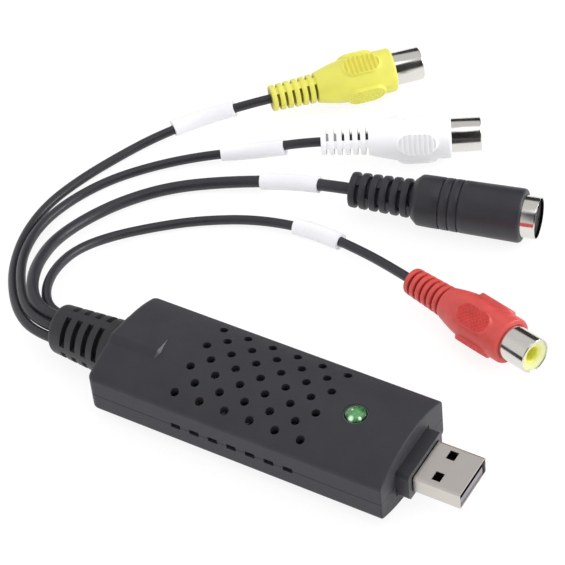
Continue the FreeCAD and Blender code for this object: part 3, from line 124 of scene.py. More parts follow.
class Finish:
    """A node material built step by step round one Principled shader."""

    def __init__(self, name):
        self.material = bpy.data.materials.new(name)
        self.material.use_nodes = True
        self.tree = self.material.node_tree
        self.shader = self.tree.nodes["Principled BSDF"]
        place = self.tree.nodes.new("ShaderNodeTexCoord")
        self.place = place.outputs["Object"]

    def node(self, kind, **settings):
        """A new node of that kind with its settings."""
        made = self.tree.nodes.new(kind)
        for key, value in settings.items():
            setattr(made, key, value)
        return made

    def link(self, output, target):
        self.tree.links.new(output, target)

    def set(self, **sockets):
        """Sets inputs of the shader, named with low lines for spaces."""
        for key, value in sockets.items():
            self.shader.inputs[key.replace("_", " ")].default_value = value

    def noise(self, size, detail=3.0, roughness=0.5):
        """Noise whose blobs are about as large as the size, in metres."""
        texture = self.node("ShaderNodeTexNoise")
        texture.inputs["Scale"].default_value = 1.0 / size
        texture.inputs["Detail"].default_value = detail
        texture.inputs["Roughness"].default_value = roughness
        self.link(self.place, texture.inputs["Vector"])
        return texture.outputs["Fac"]

    def remap(self, value, low, high, start=0.3, stop=0.7):
        """A value that goes from low to high while the given one goes from start to stop."""
        spread = self.node("ShaderNodeMapRange")
        spread.inputs["From Min"].default_value = start
        spread.inputs["From Max"].default_value = stop
        spread.inputs["To Min"].default_value = low
        spread.inputs["To Max"].default_value = high
        self.link(value, spread.inputs["Value"])
        return spread.outputs["Result"]

    def between(self, share, first, second):
        """Colour between two, by a share from 0 to 1."""
        mix = self.node("ShaderNodeMix", data_type="RGBA")
        self.fill_colour(mix, 6, first)
        self.fill_colour(mix, 7, second)
        self.link(share, mix.inputs[0])
        return mix.outputs[2]

    def fill_colour(self, mix, index, colour):
        """Gives an input of a mix a fixed colour or another node's output."""
        if isinstance(colour, tuple):
            mix.inputs[index].default_value = colour
        else:
            self.link(colour, mix.inputs[index])

    def bump(self, height, depth):
        """A relief of that depth in metres."""
        relief = self.node("ShaderNodeBump")
        relief.inputs["Distance"].default_value = depth
        self.link(height, relief.inputs["Height"])
        return relief.outputs["Normal"]

    def off_point(self, point):
        """The vector from a point to the place on the skin."""
        shift = self.node("ShaderNodeVectorMath", operation="SUBTRACT")
        shift.inputs[1].default_value = point
        self.link(self.place, shift.inputs[0])
        return shift.outputs[0]

    def length(self, vector):
        """Length of a vector, in metres."""
        measured = self.node("ShaderNodeVectorMath", operation="LENGTH")
        self.link(vector, measured.inputs[0])
        return measured.outputs["Value"]

    def off_axis(self, place):
        """Distance from the X axis of a place's matrix, in metres."""
        across = self.node("ShaderNodeVectorMath", operation="CROSS_PRODUCT")
        across.inputs[1].default_value = (place.to_3x3() @ Vector((1, 0, 0))).normalized()
        self.link(self.off_point(place.translation), across.inputs[0])
        return self.length(across.outputs[0])

    def off_upright(self, point):
        """Distance from the upright line through a point, in metres."""
        flat = self.node("ShaderNodeVectorMath", operation="MULTIPLY")
        flat.inputs[1].default_value = (1.0, 1.0, 0.0)
        self.link(self.off_point(point), flat.inputs[0])
        return self.length(flat.outputs[0])


def moulded(name, code, roughness, grain_size=0.25 * MM, grain_depth=0.006 * MM,
            patch_size=6 * MM, patches=0.07, tint=None, **shader):
    """Moulded plastic: a grainy skin, slightly uneven in tone and gloss.
    The tint, if any, takes the finish and the skin's colour and gives the colour to use."""
    finish = Finish(name)
    colour = linear(code)
    patch = finish.remap(finish.noise(patch_size, 4.0), 0.0, 1.0)
    skin = finish.between(patch, scaled(colour, 1 - patches), scaled(colour, 1 + patches))
    finish.link(tint(finish, skin) if tint else skin, finish.shader.inputs["Base Color"])
    grain = finish.noise(grain_size, 2.0)
    finish.link(finish.remap(grain, roughness - 0.05, roughness + 0.05),
                finish.shader.inputs["Roughness"])
    finish.link(finish.bump(grain, grain_depth), finish.shader.inputs["Normal"])
    finish.set(**shader)
    return finish.material


def metal(name, code, roughness, grain_size=0.2 * MM, grain_depth=0.001 * MM, speckle=0.06,
          tint=None):
    """Plated or rolled metal with fine speckle and uneven gloss."""
    finish = Finish(name)
    colour = linear(code)
    grain = finish.noise(grain_size, 5.0, roughness=0.65)
    skin = finish.between(finish.remap(grain, 0.0, 1.0), scaled(colour, 1 - speckle),
                          scaled(colour, 1 + speckle))
    finish.link(tint(finish, skin) if tint else skin, finish.shader.inputs["Base Color"])
    cloud = finish.noise(3 * MM, 3.0)
    finish.link(finish.remap(cloud, roughness - 0.04, roughness + 0.05),
                finish.shader.inputs["Roughness"])
    finish.link(finish.bump(grain, grain_depth), finish.shader.inputs["Normal"])
    finish.set(Metallic=1.0)
    return finish.material


def paper(name, code):
    """Coated paper with a faint fibre and a little sheen."""
    finish = Finish(name)
    colour = linear(code)
    fibre = finish.noise(0.5 * MM, 5.0, 0.7)
    finish.link(finish.between(finish.remap(fibre, 0.0, 1.0), scaled(colour, 0.97),
                               scaled(colour, 1.02)), finish.shader.inputs["Base Color"])
    finish.link(finish.remap(fibre, 0.55, 0.7), finish.shader.inputs["Roughness"])
    finish.link(finish.bump(finish.noise(1.6 * MM, 2.0), 0.04 * MM),
                finish.shader.inputs["Normal"])
    finish.set(Subsurface_Weight=0.1, Subsurface_Radius=(0.001, 0.001, 0.001))
    return finish.material


def green_lens(name, centre, radius):
    """Clear green moulding: painted light in the middle, painted shade towards its rim, bright
    facets, painted glints, and a faint painted glow.
    """
    finish = Finish(name)
    middle = (centre[0] + LENS_PAINTED_LIGHT_SHIFT[0] * MM, centre[1] + LENS_PAINTED_LIGHT_SHIFT[1] * MM, 0.0)
    share = finish.remap(finish.off_upright(middle), 0.0, 1.0, 0.0, radius)
    ramp = finish.node("ShaderNodeValToRGB")
    elements = ramp.color_ramp.elements
    while len(elements) < len(LENS_LIGHT_AND_SHADE_STOPS):
        elements.new(0.5)
    for element, (position, code) in zip(elements, LENS_LIGHT_AND_SHADE_STOPS):
        element.position = position
        element.color = linear(code)
    finish.link(share, ramp.inputs["Fac"])
    facets = finish.node("ShaderNodeTexVoronoi", feature="F1")
    facets.inputs["Scale"].default_value = 1 / (FACET_SIZE * MM)
    finish.link(finish.place, facets.inputs["Vector"])
    mottle = finish.remap(facets.outputs["Distance"], 0.4, 0.0, 0.0, 0.7)
    colour = finish.between(mottle, ramp.outputs["Color"], linear("7cc07c"))
    for (along, across), spread in PAINTED_GLINTS:
        spot = (centre[0] + along * MM, centre[1] + across * MM, 0.0)
        painted_glint = finish.remap(finish.off_upright(spot), 1.0, 0.0, 0.4 * spread * MM, spread * MM)
        colour = finish.between(painted_glint, colour, linear("c8f0c6"))
    finish.link(colour, finish.shader.inputs["Base Color"])
    # The lens also shows its colour, glints included, as a faint painted glow
    finish.link(colour, finish.shader.inputs["Emission Color"])
    finish.set(Roughness=0.12, Coat_Weight=1.0, Coat_Roughness=0.03, Emission_Strength=0.03,
               IOR=1.5)
    return finish.material


def dished_plastic(name, code, hole_code, place, low, high):
    """Milky insulator whose tone deepens towards the pin hole on its axis, where a painted glow
    lights it.
    """
    finish = Finish(name)
    share = finish.remap(finish.off_axis(place), 0.0, 1.0, low * MM, high * MM)
    finish.link(finish.between(share, linear(hole_code), linear(code)),
                finish.shader.inputs["Base Color"])
    # Painted glow in the hole's tone, fading to none away from the hole
    finish.link(finish.between(share, linear(hole_code), (0.0, 0.0, 0.0, 1.0)),
                finish.shader.inputs["Emission Color"])
    grain = finish.noise(0.4 * MM, 2.0)
    finish.link(finish.remap(grain, 0.3, 0.42), finish.shader.inputs["Roughness"])
    finish.link(finish.bump(grain, 0.004 * MM), finish.shader.inputs["Normal"])
    finish.set(Subsurface_Weight=0.3, Subsurface_Radius=(0.002, 0.002, 0.001),
               Emission_Strength=0.1)
    return finish.material


def shaded_inside(place, code, low, high):
    """A tint of painted shade that turns to a darker tone near the socket's axis, in millimetres
    from it.
    """
    def tint(finish, skin):
        share = finish.remap(finish.off_axis(place), 0.0, 1.0, low * MM, high * MM)
        return finish.between(share, linear(code), skin)
    return tint


def painted_light_ring(centre, code, inner, outer):
    """A painted ring of light in another tone round an upright axis, which fades from inner to
    outer.
    """
    def tint(finish, skin):
        ring = finish.remap(finish.off_upright(centre), 1.0, 0.0, inner * MM, outer * MM)
        return finish.between(ring, skin, linear(code))
    return tint


def shaded_past(code, part, start, stop):
    """A tint of painted shade that turns to another tone from start to stop along the axis named
    by part.
    """
    def tint(finish, skin):
        parts = finish.node("ShaderNodeSeparateXYZ")
        finish.link(finish.place, parts.inputs[0])
        past = finish.remap(parts.outputs[part], 0.0, 1.0, start, stop)
        return finish.between(past, skin, linear(code))
    return tint


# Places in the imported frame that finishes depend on, in metres
button_low, button_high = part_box("button_cap")
BUTTON_CENTRE = ((button_low.x + button_high.x) / 2, (button_low.y + button_high.y) / 2, 0.0)
COLLAR_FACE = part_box("plug_collar")[1].x
TONGUE_THICKNESS = 1.85 * MM
TONGUE_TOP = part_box("usb_plug_insulator")[0].z + TONGUE_THICKNESS

# Radii in millimetres where the green light on the rim of the button's hole fades
RIM_FADE = (2.62, 2.8)

CASE_SKIN = dict(code="2c2c32", roughness=0.54, grain_size=0.22 * MM, grain_depth=0.012 * MM,
                 Specular_IOR_Level=0.38, Sheen_Weight=0.08, Sheen_Roughness=0.4)
# The top's skin has a painted ring of green light round the button's hole
TOP_CASE = moulded("case_plastic_top", tint=painted_light_ring(BUTTON_CENTRE, "45614e", *RIM_FADE),
                   **CASE_SKIN)
CASE = moulded("case_plastic", **CASE_SKIN)
# A lighter copy of the case plastic for the raised flat's slope: a painted highlight
HIGHLIGHT_EDGE = moulded("case_plastic_painted_highlight", "404046", 0.44, 0.4 * MM, 0.004 * MM)
COLLAR = moulded("collar_plastic", "24242a", 0.44, 0.3 * MM, 0.004 * MM, Sheen_Weight=0.25,
                 Sheen_Roughness=0.4)
RELIEF = moulded("relief_rubber", "252528", 0.48, 0.25 * MM, 0.012 * MM)
JACKET = moulded("cord_jacket", "2b2b30", 0.4, 0.5 * MM, 0.006 * MM, 4 * MM, 0.12)
BLACK_VINYL = moulded("black_vinyl", "27272d", 0.46, 0.25 * MM, 0.014 * MM)
NICKEL_SKIN = dict(code="dfdcd7", roughness=0.15, grain_size=0.25 * MM, grain_depth=0.0012 * MM)
NICKEL = metal("nickel", **NICKEL_SKIN)
# The plug's shell has painted shade where it leaves the collar, and so has the tongue's top,
# which shows in the shell's windows and mouth
PLUG_STEEL = metal("plug_steel", "d1cbc5", 0.34, 0.16 * MM, 0.0016 * MM,
                   tint=shaded_past("1b1a1b", "X", COLLAR_FACE + 0.3 * MM,
                                   COLLAR_FACE + 0.2 * MM))
PLUG_PLASTIC = moulded("plug_plastic", "8c888f", 0.5, Specular_IOR_Level=0.15,
                       tint=shaded_past("08080a", "Z", TONGUE_TOP - 0.14 * MM,
                                       TONGUE_TOP - 0.06 * MM))

GOLD = metal("contact_gold", "b08c45", 0.3)
# The pin contacts glow a little: painted glow
CONTACT = moulded("contact_plating", "cbc84a", 0.3, Emission_Color=linear("cbc84a"),
                  Emission_Strength=0.2)
LABEL_PAPER = paper("label_paper", "eeeef1")
LAMINATE = moulded("board_laminate", "1d5a33", 0.4, 0.5 * MM, 0.01 * MM)
EPOXY = moulded("chip_epoxy", "1a1a1c", 0.5)
TIN = metal("tin", "bdbdb9", 0.35)
CAN = metal("can_metal", "b9babd", 0.25)
CERAMIC = moulded("ceramic_body", "b1936a", 0.55)
LED_RESIN = moulded("led_resin", "e6f3df", 0.2)
SWITCH_PLASTIC = moulded("switch_plastic", "232325", 0.45)
SOCKET_CORE = moulded("socket_core", "0c0c0e", 0.5, Specular_IOR_Level=0.12)

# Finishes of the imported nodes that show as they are
NODE_FINISH = {
    "top_cover": TOP_CASE, "bottom_cover": CASE, "plug_collar": COLLAR,
    "usb_plug_shell": PLUG_STEEL, "usb_plug_insulator": PLUG_PLASTIC,
    "usb_plug_contacts": GOLD, "strain_relief": RELIEF, "circuit_board": LAMINATE,
    "video_decoder_chip": EPOXY, "usb_bridge_chip": EPOXY, "audio_converter_chip": EPOXY,
    "chip_leads": TIN, "crystals": CAN, "electrolytic_capacitors": CAN,
    "ceramic_capacitors": CERAMIC, "resistors": EPOXY, "voltage_regulator": EPOXY,
    "switch_body": SWITCH_PLASTIC, "switch_plunger": SWITCH_PLASTIC, "button_led": LED_RESIN,
    "wire_tails": JACKET, "solder_joints": TIN, "yellow_rca_contact": CONTACT,
    "white_rca_contact": CONTACT, "red_rca_contact": CONTACT, "svideo_contacts": GOLD,
    "svideo_core": SOCKET_CORE,
}


def dress(item, finish):
    """Gives a piece one finish in place of those that it has."""
    item.data.materials.clear()
    item.data.materials.append(finish)


# Edges of new pieces that turn by more than this, in degrees, stay sharp
SHARP_ANGLE = 38.0


def new_piece(name, vertices, faces, finish, body=BODY):
    """A mesh piece in the row frame, smooth apart from its sharper edges."""
    mesh = bpy.data.meshes.new(name)
    mesh.from_pydata([tuple(vertex) for vertex in vertices], [], faces)
    mesh.update()
    item = bpy.data.objects.new(name, mesh)
    bpy.context.scene.collection.objects.link(item)
    mesh.shade_smooth()
    mesh.set_sharp_from_angle(angle=math.radians(SHARP_ANGLE))
    dress(item, finish)
    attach(item, body)
    return item


# Turned skins: rings round the local X axis, each with a radius that may change with the turn

def ring_skin(rings, columns, place):
    """Vertices and faces through rings given as (along, radius), sizes in millimetres.
    A radius is a number or a function of the turn from local +Z towards +Y; 0 is a tip."""
    vertices = []
    starts = []
    for along, radius in rings:
        starts.append(len(vertices))
        if radius == 0:
            vertices.append(place @ Vector((along * MM, 0, 0)))
            continue
        for column in range(columns):
            turn = 2 * math.pi * column / columns
            reach = (radius(turn) if callable(radius) else radius) * MM
            vertices.append(place @ Vector(
                (along * MM, reach * math.sin(turn), reach * math.cos(turn))))
    faces = []
    for index in range(len(rings) - 1):
        low, high = starts[index], starts[index + 1]
        tip_low = rings[index][1] == 0
        tip_high = rings[index + 1][1] == 0
        for column in range(columns):
            following = (column + 1) % columns
            if tip_low:
                faces.append((low, high + following, high + column))
            elif tip_high:
                faces.append((low + column, low + following, high))
            else:
                faces.append((low + column, low + following, high + following, high + column))
    return vertices, faces


def smooth_step(value, low, high):
    """Share from 0 at low to 1 at high, with soft ends."""
    share = min(1.0, max(0.0, (value - low) / (high - low)))
    return share * share * (3 - 2 * share)


def rounded(start, end, radius_start, radius_end, edge):
    """Six rings of a rib's top, whose two edges are rounded."""
    third = edge * 0.3
    return [(start, radius_start - edge), (start + third, radius_start - third),
            (start + edge, radius_start), (end - edge, radius_end),
            (end - third, radius_end - third), (end, radius_end - edge)]


def socket_place(name):
    """Matrix of a socket: X along its axis from the end of the cord, rolled as it lies."""
    before, last = (Vector(row) * MM for row in ROUTES[name][-2:])
    ahead = (last - before).normalized()
    side = Vector((0, 0, 1)).cross(ahead).normalized()
    turned = Matrix((ahead, side, ahead.cross(side))).transposed().to_4x4()
    roll = Matrix.Rotation(math.radians(SOCKET_ROLL[name]), 4, "X")
    return Matrix.Translation(last) @ turned @ roll


# RCA boots, in millimetres along the axis from the end of the cord
RCA_NECK = 11.5
RCA_FRONT = 31.5
RCA_TIP = 38.7
RCA_RIBS = 6
RCA_SLOT = 0.65
RCA_SPINE_WIDTH = 2.1
RCA_SPINE_DROP = 0.15
RCA_NECK_RADII = (3.25, 3.7)
RCA_RIB_EDGE = 0.2
RCA_CORE_RADIUS = 1.5
RCA_SHOULDER_RADIUS = 3.8
RCA_SWELL = 9.5
RCA_BODY_RADIUS = 5.5
RCA_SEAT = 28.6
RCA_BORE_RADIUS = 4.2
RCA_SHELL_OUTER = 4.15
RCA_SHELL_INNER = 3.72
PIN_HOLE_RADIUS = 1.65
DISC_RADIUS = 3.7
DISC_BACK = 29.0
GRIP_CENTRE = 23.2
GRIP_HALF_LENGTH = 4.7
GRIP_HALF_WIDTH = 2.75
GRIP_REACH = 6.05
GRIP_MARGIN = 0.6
GRIP_RIB_PITCH = 1.2
GRIP_RIB_HEIGHT = 0.26
KNURL_PITCH = 1.1
KNURL_HEIGHT = 0.28

# The pads by quarter of a turn, and how far inside a pad's border it rises to its full height,
# its ribs or knurl do so, and its painted shade starts
RIBBED_PADS = (0, 2)
ALL_PADS = (0, 1, 2, 3)
PAD_RISE = (-0.55, 0.2)
PAD_RELIEF_RISE = (-0.1, 0.4)
PAD_SHADE_INSET = 0.2

# Distances from the socket's axis where the painted shade of the slots and the deeper tone and
# painted glow of the insulator's pin hole fade
RCA_SLOT_SHADE_FADE = (2.3, 3.3)
PIN_HOLE_FADE = (1.6, 2.9)


def spine_or(radius, floor, width, directions):
    """Radius of a slot's floor, raised to the spines that bridge the slot."""
    def profile(turn):
        for direction in directions:
            away = math.remainder(turn - direction, 2 * math.pi)
            if abs(away) < math.pi / 2 and abs(math.sin(away)) * radius < width / 2:
                return radius
        return floor
    return profile


def neck_rings(length, ribs, slot, ends, floors, spine_width, spine_drop, directions, edge):
    """Rings of a slotted neck; the floor radius and spine directions go by slot."""
    rings = []
    pitch = length / ribs
    first, last = ends
    for rib in range(ribs):
        radius = first + (last - first) * rib / ribs
        start = rib * pitch
        stop = start + pitch - slot
        rings += rounded(start, stop, radius, radius + (last - first) / ribs, edge)
        floor = spine_or(radius - spine_drop, floors[rib], spine_width, directions[rib])
        rings += [(stop + 0.01, floor), (start + pitch - 0.01, floor)]
    return rings


def grip_place(along, turn):
    """The nearest of the four pads, the turn and the way across from its middle, and how far
    inside its border the place lies."""
    quarter = round(turn / (math.pi / 2)) % 4
    away = math.remainder(turn - quarter * math.pi / 2, 2 * math.pi)
    across = GRIP_REACH * math.tan(away)
    straight = GRIP_HALF_LENGTH - GRIP_HALF_WIDTH
    over = max(0.0, abs(along - GRIP_CENTRE) - straight)
    return quarter, away, across, GRIP_HALF_WIDTH - math.hypot(over, across)


def grip_radius(along, turn, base):
    """Body radius with its four grip pads: two ribbed, above and below, two knurled."""
    quarter, away, across, inside = grip_place(along, turn)
    share = smooth_step(inside, *PAD_RISE)
    if share == 0.0:
        return base
    plane = GRIP_REACH / math.cos(away)
    field = smooth_step(inside, *PAD_RELIEF_RISE)
    if quarter in RIBBED_PADS:
        wave = 0.5 + 0.5 * math.cos(2 * math.pi * (along - GRIP_CENTRE) / GRIP_RIB_PITCH)
        relief = GRIP_RIB_HEIGHT * (smooth_step(wave, 0.2, 0.8) - 1)
    else:
        first = math.sin(math.pi * (along + across) / KNURL_PITCH)
        second = math.sin(math.pi * (along - across) / KNURL_PITCH)
        relief = KNURL_HEIGHT * (first * first * second * second - 1)
    return base + (plane + relief * field - base) * share


def body_base_radius(along):
    """Radius of the plain boot body behind and between the grips."""
    out = min(1.0, (along - RCA_NECK) / RCA_SWELL)
    swell = math.sin(out * math.pi / 2)
    return RCA_SHOULDER_RADIUS + (RCA_BODY_RADIUS - RCA_SHOULDER_RADIUS) * swell


def rca_boot_rings(floors):
    """An RCA boot: slotted neck, body with grip pads, and the bore where the shell sits."""
    directions = [(0.0, math.pi)] * RCA_RIBS
    rings = [(0.0, 0), (0.0, 1.6), (0.0, 2.9)]
    rings += neck_rings(RCA_NECK, RCA_RIBS, RCA_SLOT, RCA_NECK_RADII, floors, RCA_SPINE_WIDTH,
                        RCA_SPINE_DROP, directions, RCA_RIB_EDGE)
    rings += [(RCA_NECK, 3.6), (RCA_NECK + 0.1, RCA_SHOULDER_RADIUS)]
    pads_start = GRIP_CENTRE - GRIP_HALF_LENGTH - GRIP_MARGIN
    steps = 14
    for step in range(1, steps):
        along = RCA_NECK + 0.1 + (pads_start - RCA_NECK) * step / steps
        rings.append((along, body_base_radius(along)))
    fine = 0.11
    count = round(2 * (GRIP_HALF_LENGTH + GRIP_MARGIN) / fine)
    for step in range(count + 1):
        along = pads_start + fine * step
        base = body_base_radius(along)
        rings.append((along, lambda turn, a=along, b=base: grip_radius(a, turn, b)))
    rings += [(29.5, RCA_BODY_RADIUS), (30.7, RCA_BODY_RADIUS), (31.05, 5.47), (31.3, 5.36),
              (31.45, 5.18), (RCA_FRONT, 4.95), (RCA_FRONT, 4.32), (31.42, RCA_BORE_RADIUS),
              (RCA_SEAT, RCA_BORE_RADIUS), (RCA_SEAT, 0)]
    return rings


def rca_shell_rings():
    """The thin tube of an RCA shell, with a rounded rim."""
    return [(RCA_SEAT, RCA_SHELL_INNER), (RCA_SEAT, RCA_SHELL_OUTER), (38.45, RCA_SHELL_OUTER),
            (38.6, 4.1), (RCA_TIP, 4.0), (RCA_TIP, 3.82), (38.6, RCA_SHELL_INNER),
            (RCA_SEAT, RCA_SHELL_INNER)]


def insulator_rings():
    """Milky disc, dished round the pin hole, with the hole's wall."""
    return [(DISC_BACK, PIN_HOLE_RADIUS), (36.9, PIN_HOLE_RADIUS), (37.3, 1.6), (37.6, 1.68),
            (37.85, 1.95), (38.05, 2.4), (38.25, 3.0), (38.42, 3.5), (38.44, DISC_RADIUS),
            (DISC_BACK, DISC_RADIUS), (DISC_BACK, PIN_HOLE_RADIUS)]


# Each RCA boot: tone, painted shade of its slots, painted shade of its pads, which pads have
# it, radii of the slots' floors in millimetres, and the rest of its skin
RCA_SKIN = dict(roughness=0.42, grain_size=0.3 * MM, grain_depth=0.008 * MM)
BOOTS = {
    "yellow": ("deda5c", "8f7f1d", "d3c949", RIBBED_PADS, [2.2] * RCA_RIBS,
               dict(patch_size=5 * MM, patches=0.05, Subsurface_Weight=0.15,
                    Subsurface_Radius=(0.002, 0.0015, 0.0004))),
    "white": ("fafafa", "c9c9cb", "f4f4f5", ALL_PADS, [1.85, 1.75] + [1.3] * (RCA_RIBS - 2),
              dict(patch_size=5 * MM, patches=0.015)),
    "red": ("cd4943", "8e1f20", "c93731", ALL_PADS, [2.2] * RCA_RIBS,
            dict(patch_size=2.5 * MM, patches=0.1, Subsurface_Weight=0.12,
                 Subsurface_Radius=(0.002, 0.0006, 0.0006))),
}


def make_rca_socket(name):
    """Boot, inner cord, shell and insulator of one RCA socket; returns its pieces."""
    place = socket_place(name)
    node = name + "_rca"
    code, slot_shade_code, pad_shade_code, shaded_pads, floors, look = BOOTS[name]
    # Painted shade darkens the slots towards the axis
    slot_shade = shaded_inside(place, slot_shade_code, *RCA_SLOT_SHADE_FADE)
    skin = moulded(name + "_vinyl", code, tint=slot_shade, **RCA_SKIN, **look)
    # The pads' skin is a darker copy of the boot's: painted shade of their ribs and knurl
    shaded_pad_skin = moulded(name + "_vinyl_pad_shaded", pad_shade_code, tint=slot_shade, **RCA_SKIN, **look)
    vertices, faces = ring_skin(rca_boot_rings(floors), 256, place)
    boot = new_piece(node + "_boot_skin", vertices, faces, skin)
    boot.data.materials.append(shaded_pad_skin)
    back = place.inverted()
    for face in boot.data.polygons:
        middle = back @ face.center
        turn = math.atan2(middle.y, middle.z) % (2 * math.pi)
        quarter, _, _, inside = grip_place(middle.x / MM, turn)
        if quarter in shaded_pads and inside > PAD_SHADE_INSET:
            face.material_index = 1
    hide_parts(node + "_boot")
    inner = [(0.3, 0), (0.3, RCA_CORE_RADIUS), (RCA_NECK + 0.5, RCA_CORE_RADIUS),
             (RCA_NECK + 0.5, 0)]
    vertices, faces = ring_skin(inner, 48, place)
    core = new_piece(node + "_inner_cord", vertices, faces, JACKET)
    vertices, faces = ring_skin(rca_shell_rings(), 128, place)
    shell = new_piece(node + "_shell_skin", vertices, faces, NICKEL)
    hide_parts(node + "_shell")
    milky = dished_plastic(node + "_insulator_finish", "d1d5a0", "cdcc54", place,
                           *PIN_HOLE_FADE)
    vertices, faces = ring_skin(insulator_rings(), 96, place)
    disc = new_piece(node + "_insulator_skin", vertices, faces, milky)
    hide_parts(node + "_insulator")
    return [boot, core, shell, disc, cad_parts[node + "_contact"]]


# S-Video boot and shell, in millimetres along the axis from the end of the cord
SVIDEO_NECK = 15.4
SVIDEO_SHOULDER = 17.1
SVIDEO_FRONT = 42.0
SVIDEO_TIP = 45.5
SVIDEO_SEAT = 36.1
SVIDEO_RIBS = 6
SVIDEO_SLOT = 0.85
SVIDEO_SLOT_FLOOR = 2.8
SVIDEO_SPINE_WIDTH = 3.1
SVIDEO_SPINE_DROP = 0.4
SVIDEO_NECK_RADII = (4.25, 4.7)
SVIDEO_RIB_EDGE = 0.36
SVIDEO_BODY_RADIUS = 6.12
SVIDEO_FLARE = 0.33
SVIDEO_GROOVES = (22.4, 24.65, 26.9)
SVIDEO_GROOVE_DEPTH = 0.4
SVIDEO_BORE_RADIUS = 5.05
SVIDEO_SHELL_OUTER = 5.0
SVIDEO_SHELL_INNER = 4.7
# Radii in millimetres where the painted shade inside the shell's hollow fades
SVIDEO_HOLLOW_SHADE_FADE = (4.76, 4.86)


def svideo_body_radius(along):
    """Radius of the S-Video boot's body, which widens a little towards its front."""
    length = SVIDEO_FRONT - SVIDEO_SHOULDER
    return SVIDEO_BODY_RADIUS + SVIDEO_FLARE * (along - SVIDEO_SHOULDER) / length


def svideo_boot_rings():
    """The S-Video boot: slotted neck, shoulder, body with three grooves, and its bore."""
    upright = (0.0, math.pi)
    level = (math.pi / 2, 1.5 * math.pi)
    rings = [(0.0, 0), (0.0, 2.0), (0.0, 3.75)]
    rings += neck_rings(SVIDEO_NECK, SVIDEO_RIBS, SVIDEO_SLOT, SVIDEO_NECK_RADII,
                        [SVIDEO_SLOT_FLOOR] * SVIDEO_RIBS, SVIDEO_SPINE_WIDTH,
                        SVIDEO_SPINE_DROP, [upright, level] * (SVIDEO_RIBS // 2),
                        SVIDEO_RIB_EDGE)
    rings += [(SVIDEO_NECK, 4.6), (SVIDEO_NECK + 0.12, 4.85), (16.75, 5.92), (16.95, 6.04),
              (SVIDEO_SHOULDER + 0.3, SVIDEO_BODY_RADIUS)]
    last = SVIDEO_SHOULDER + 0.3
    for groove in SVIDEO_GROOVES:
        before = svideo_body_radius(groove)
        floor = before - SVIDEO_GROOVE_DEPTH
        rings += [((last + groove) / 2, before), (groove - 0.1, before),
                  (groove - 0.02, before - 0.06), (groove, floor), (groove + 0.36, floor),
                  (groove + 0.38, before - 0.06), (groove + 0.46, before)]
        last = groove + 0.46
    for step in range(1, 8):
        along = last + (41.1 - last) * step / 7
        rings.append((along, svideo_body_radius(along)))
    rings += [(41.45, 6.38), (41.75, 6.24), (41.93, 6.04), (SVIDEO_FRONT, 5.8),
              (SVIDEO_FRONT, 5.2), (41.9, SVIDEO_BORE_RADIUS), (SVIDEO_SEAT, SVIDEO_BORE_RADIUS),
              (SVIDEO_SEAT, 0)]
    return rings


def svideo_shell_rings():
    """The thin tube of the S-Video shell, with a rounded rim."""
    return [(SVIDEO_SEAT, SVIDEO_SHELL_INNER), (SVIDEO_SEAT, SVIDEO_SHELL_OUTER),
            (45.2, SVIDEO_SHELL_OUTER), (45.4, 4.96), (SVIDEO_TIP, 4.88), (SVIDEO_TIP, 4.8),
            (45.4, 4.72), (45.2, SVIDEO_SHELL_INNER), (SVIDEO_SEAT, SVIDEO_SHELL_INNER)]


def make_svideo_socket():
    """Boot and shell of the S-Video socket; returns its pieces."""
    place = socket_place("svideo")
    vertices, faces = ring_skin(svideo_boot_rings(), 160, place)
    boot = new_piece("svideo_boot_skin", vertices, faces, BLACK_VINYL)
    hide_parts("svideo_boot")
    vertices, faces = ring_skin(svideo_shell_rings(), 128, place)
    # The shell's inside is darkened: painted shade in its hollow
    hollow = metal("nickel_shaded_hollow", tint=shaded_inside(place, "1a191a", *SVIDEO_HOLLOW_SHADE_FADE),
                   **NICKEL_SKIN)
    shell = new_piece("svideo_shell_skin", vertices, faces, hollow)
    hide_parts("svideo_shell")
    return [boot, shell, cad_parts["svideo_core"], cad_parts["svideo_contacts"]]


# Cords and their labels

def make_cord(name):
    """A cord as a smooth tube along its route."""
    curve = bpy.data.curves.new(name + "_cord_line", "CURVE")
    curve.dimensions = "3D"
    spline = curve.splines.new("NURBS")
    rows = ROUTES[name]
    spline.points.add(len(rows) - 1)
    for point, row in zip(spline.points, rows):
        point.co = (*(Vector(row) * MM), 1.0)
    spline.order_u = 3
    spline.use_endpoint_u = True
    curve.resolution_u = 16
    curve.bevel_depth = CORD_DIAMETER[name] / 2 * MM
    curve.bevel_resolution = 7
    curve.use_fill_caps = True
    cord = bpy.data.objects.new(name + "_cord_skin", curve)
    bpy.context.scene.collection.objects.link(cord)
    curve.materials.append(JACKET)
    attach(cord, BODY)
    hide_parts(name + "_cord")
    return cord


def centreline(cord):
    """Points along the cord's spline, read from a copy of the curve with no bevel."""
    plain = cord.copy()
    plain.data = cord.data.copy()
    plain.data.bevel_depth = 0.0
    mesh = bpy.data.meshes.new_from_object(plain)
    points = [vertex.co.copy() for vertex in mesh.vertices]
    bpy.data.meshes.remove(mesh)
    line = plain.data
    bpy.data.objects.remove(plain)
    bpy.data.curves.remove(line)
    return points


def stretch_of(points, middle, half, shift):
    """Evenly spaced points of the line round its point nearest middle, shifted along it."""
    distances = [0.0]
    for start, end in zip(points, points[1:]):
        distances.append(distances[-1] + (end - start).length)
    nearest = min(range(len(points)), key=lambda i: (points[i] - middle).length)
    centre = distances[nearest] + shift
    steps = 30
    found = []
    for step in range(steps + 1):
        target = centre - half + 2 * half * step / steps
        index = max(i for i, d in enumerate(distances) if d <= target)
        index = min(index, len(points) - 2)
        share = (target - distances[index]) / (distances[index + 1] - distances[index])
        found.append(points[index].lerp(points[index + 1], share))
    return found


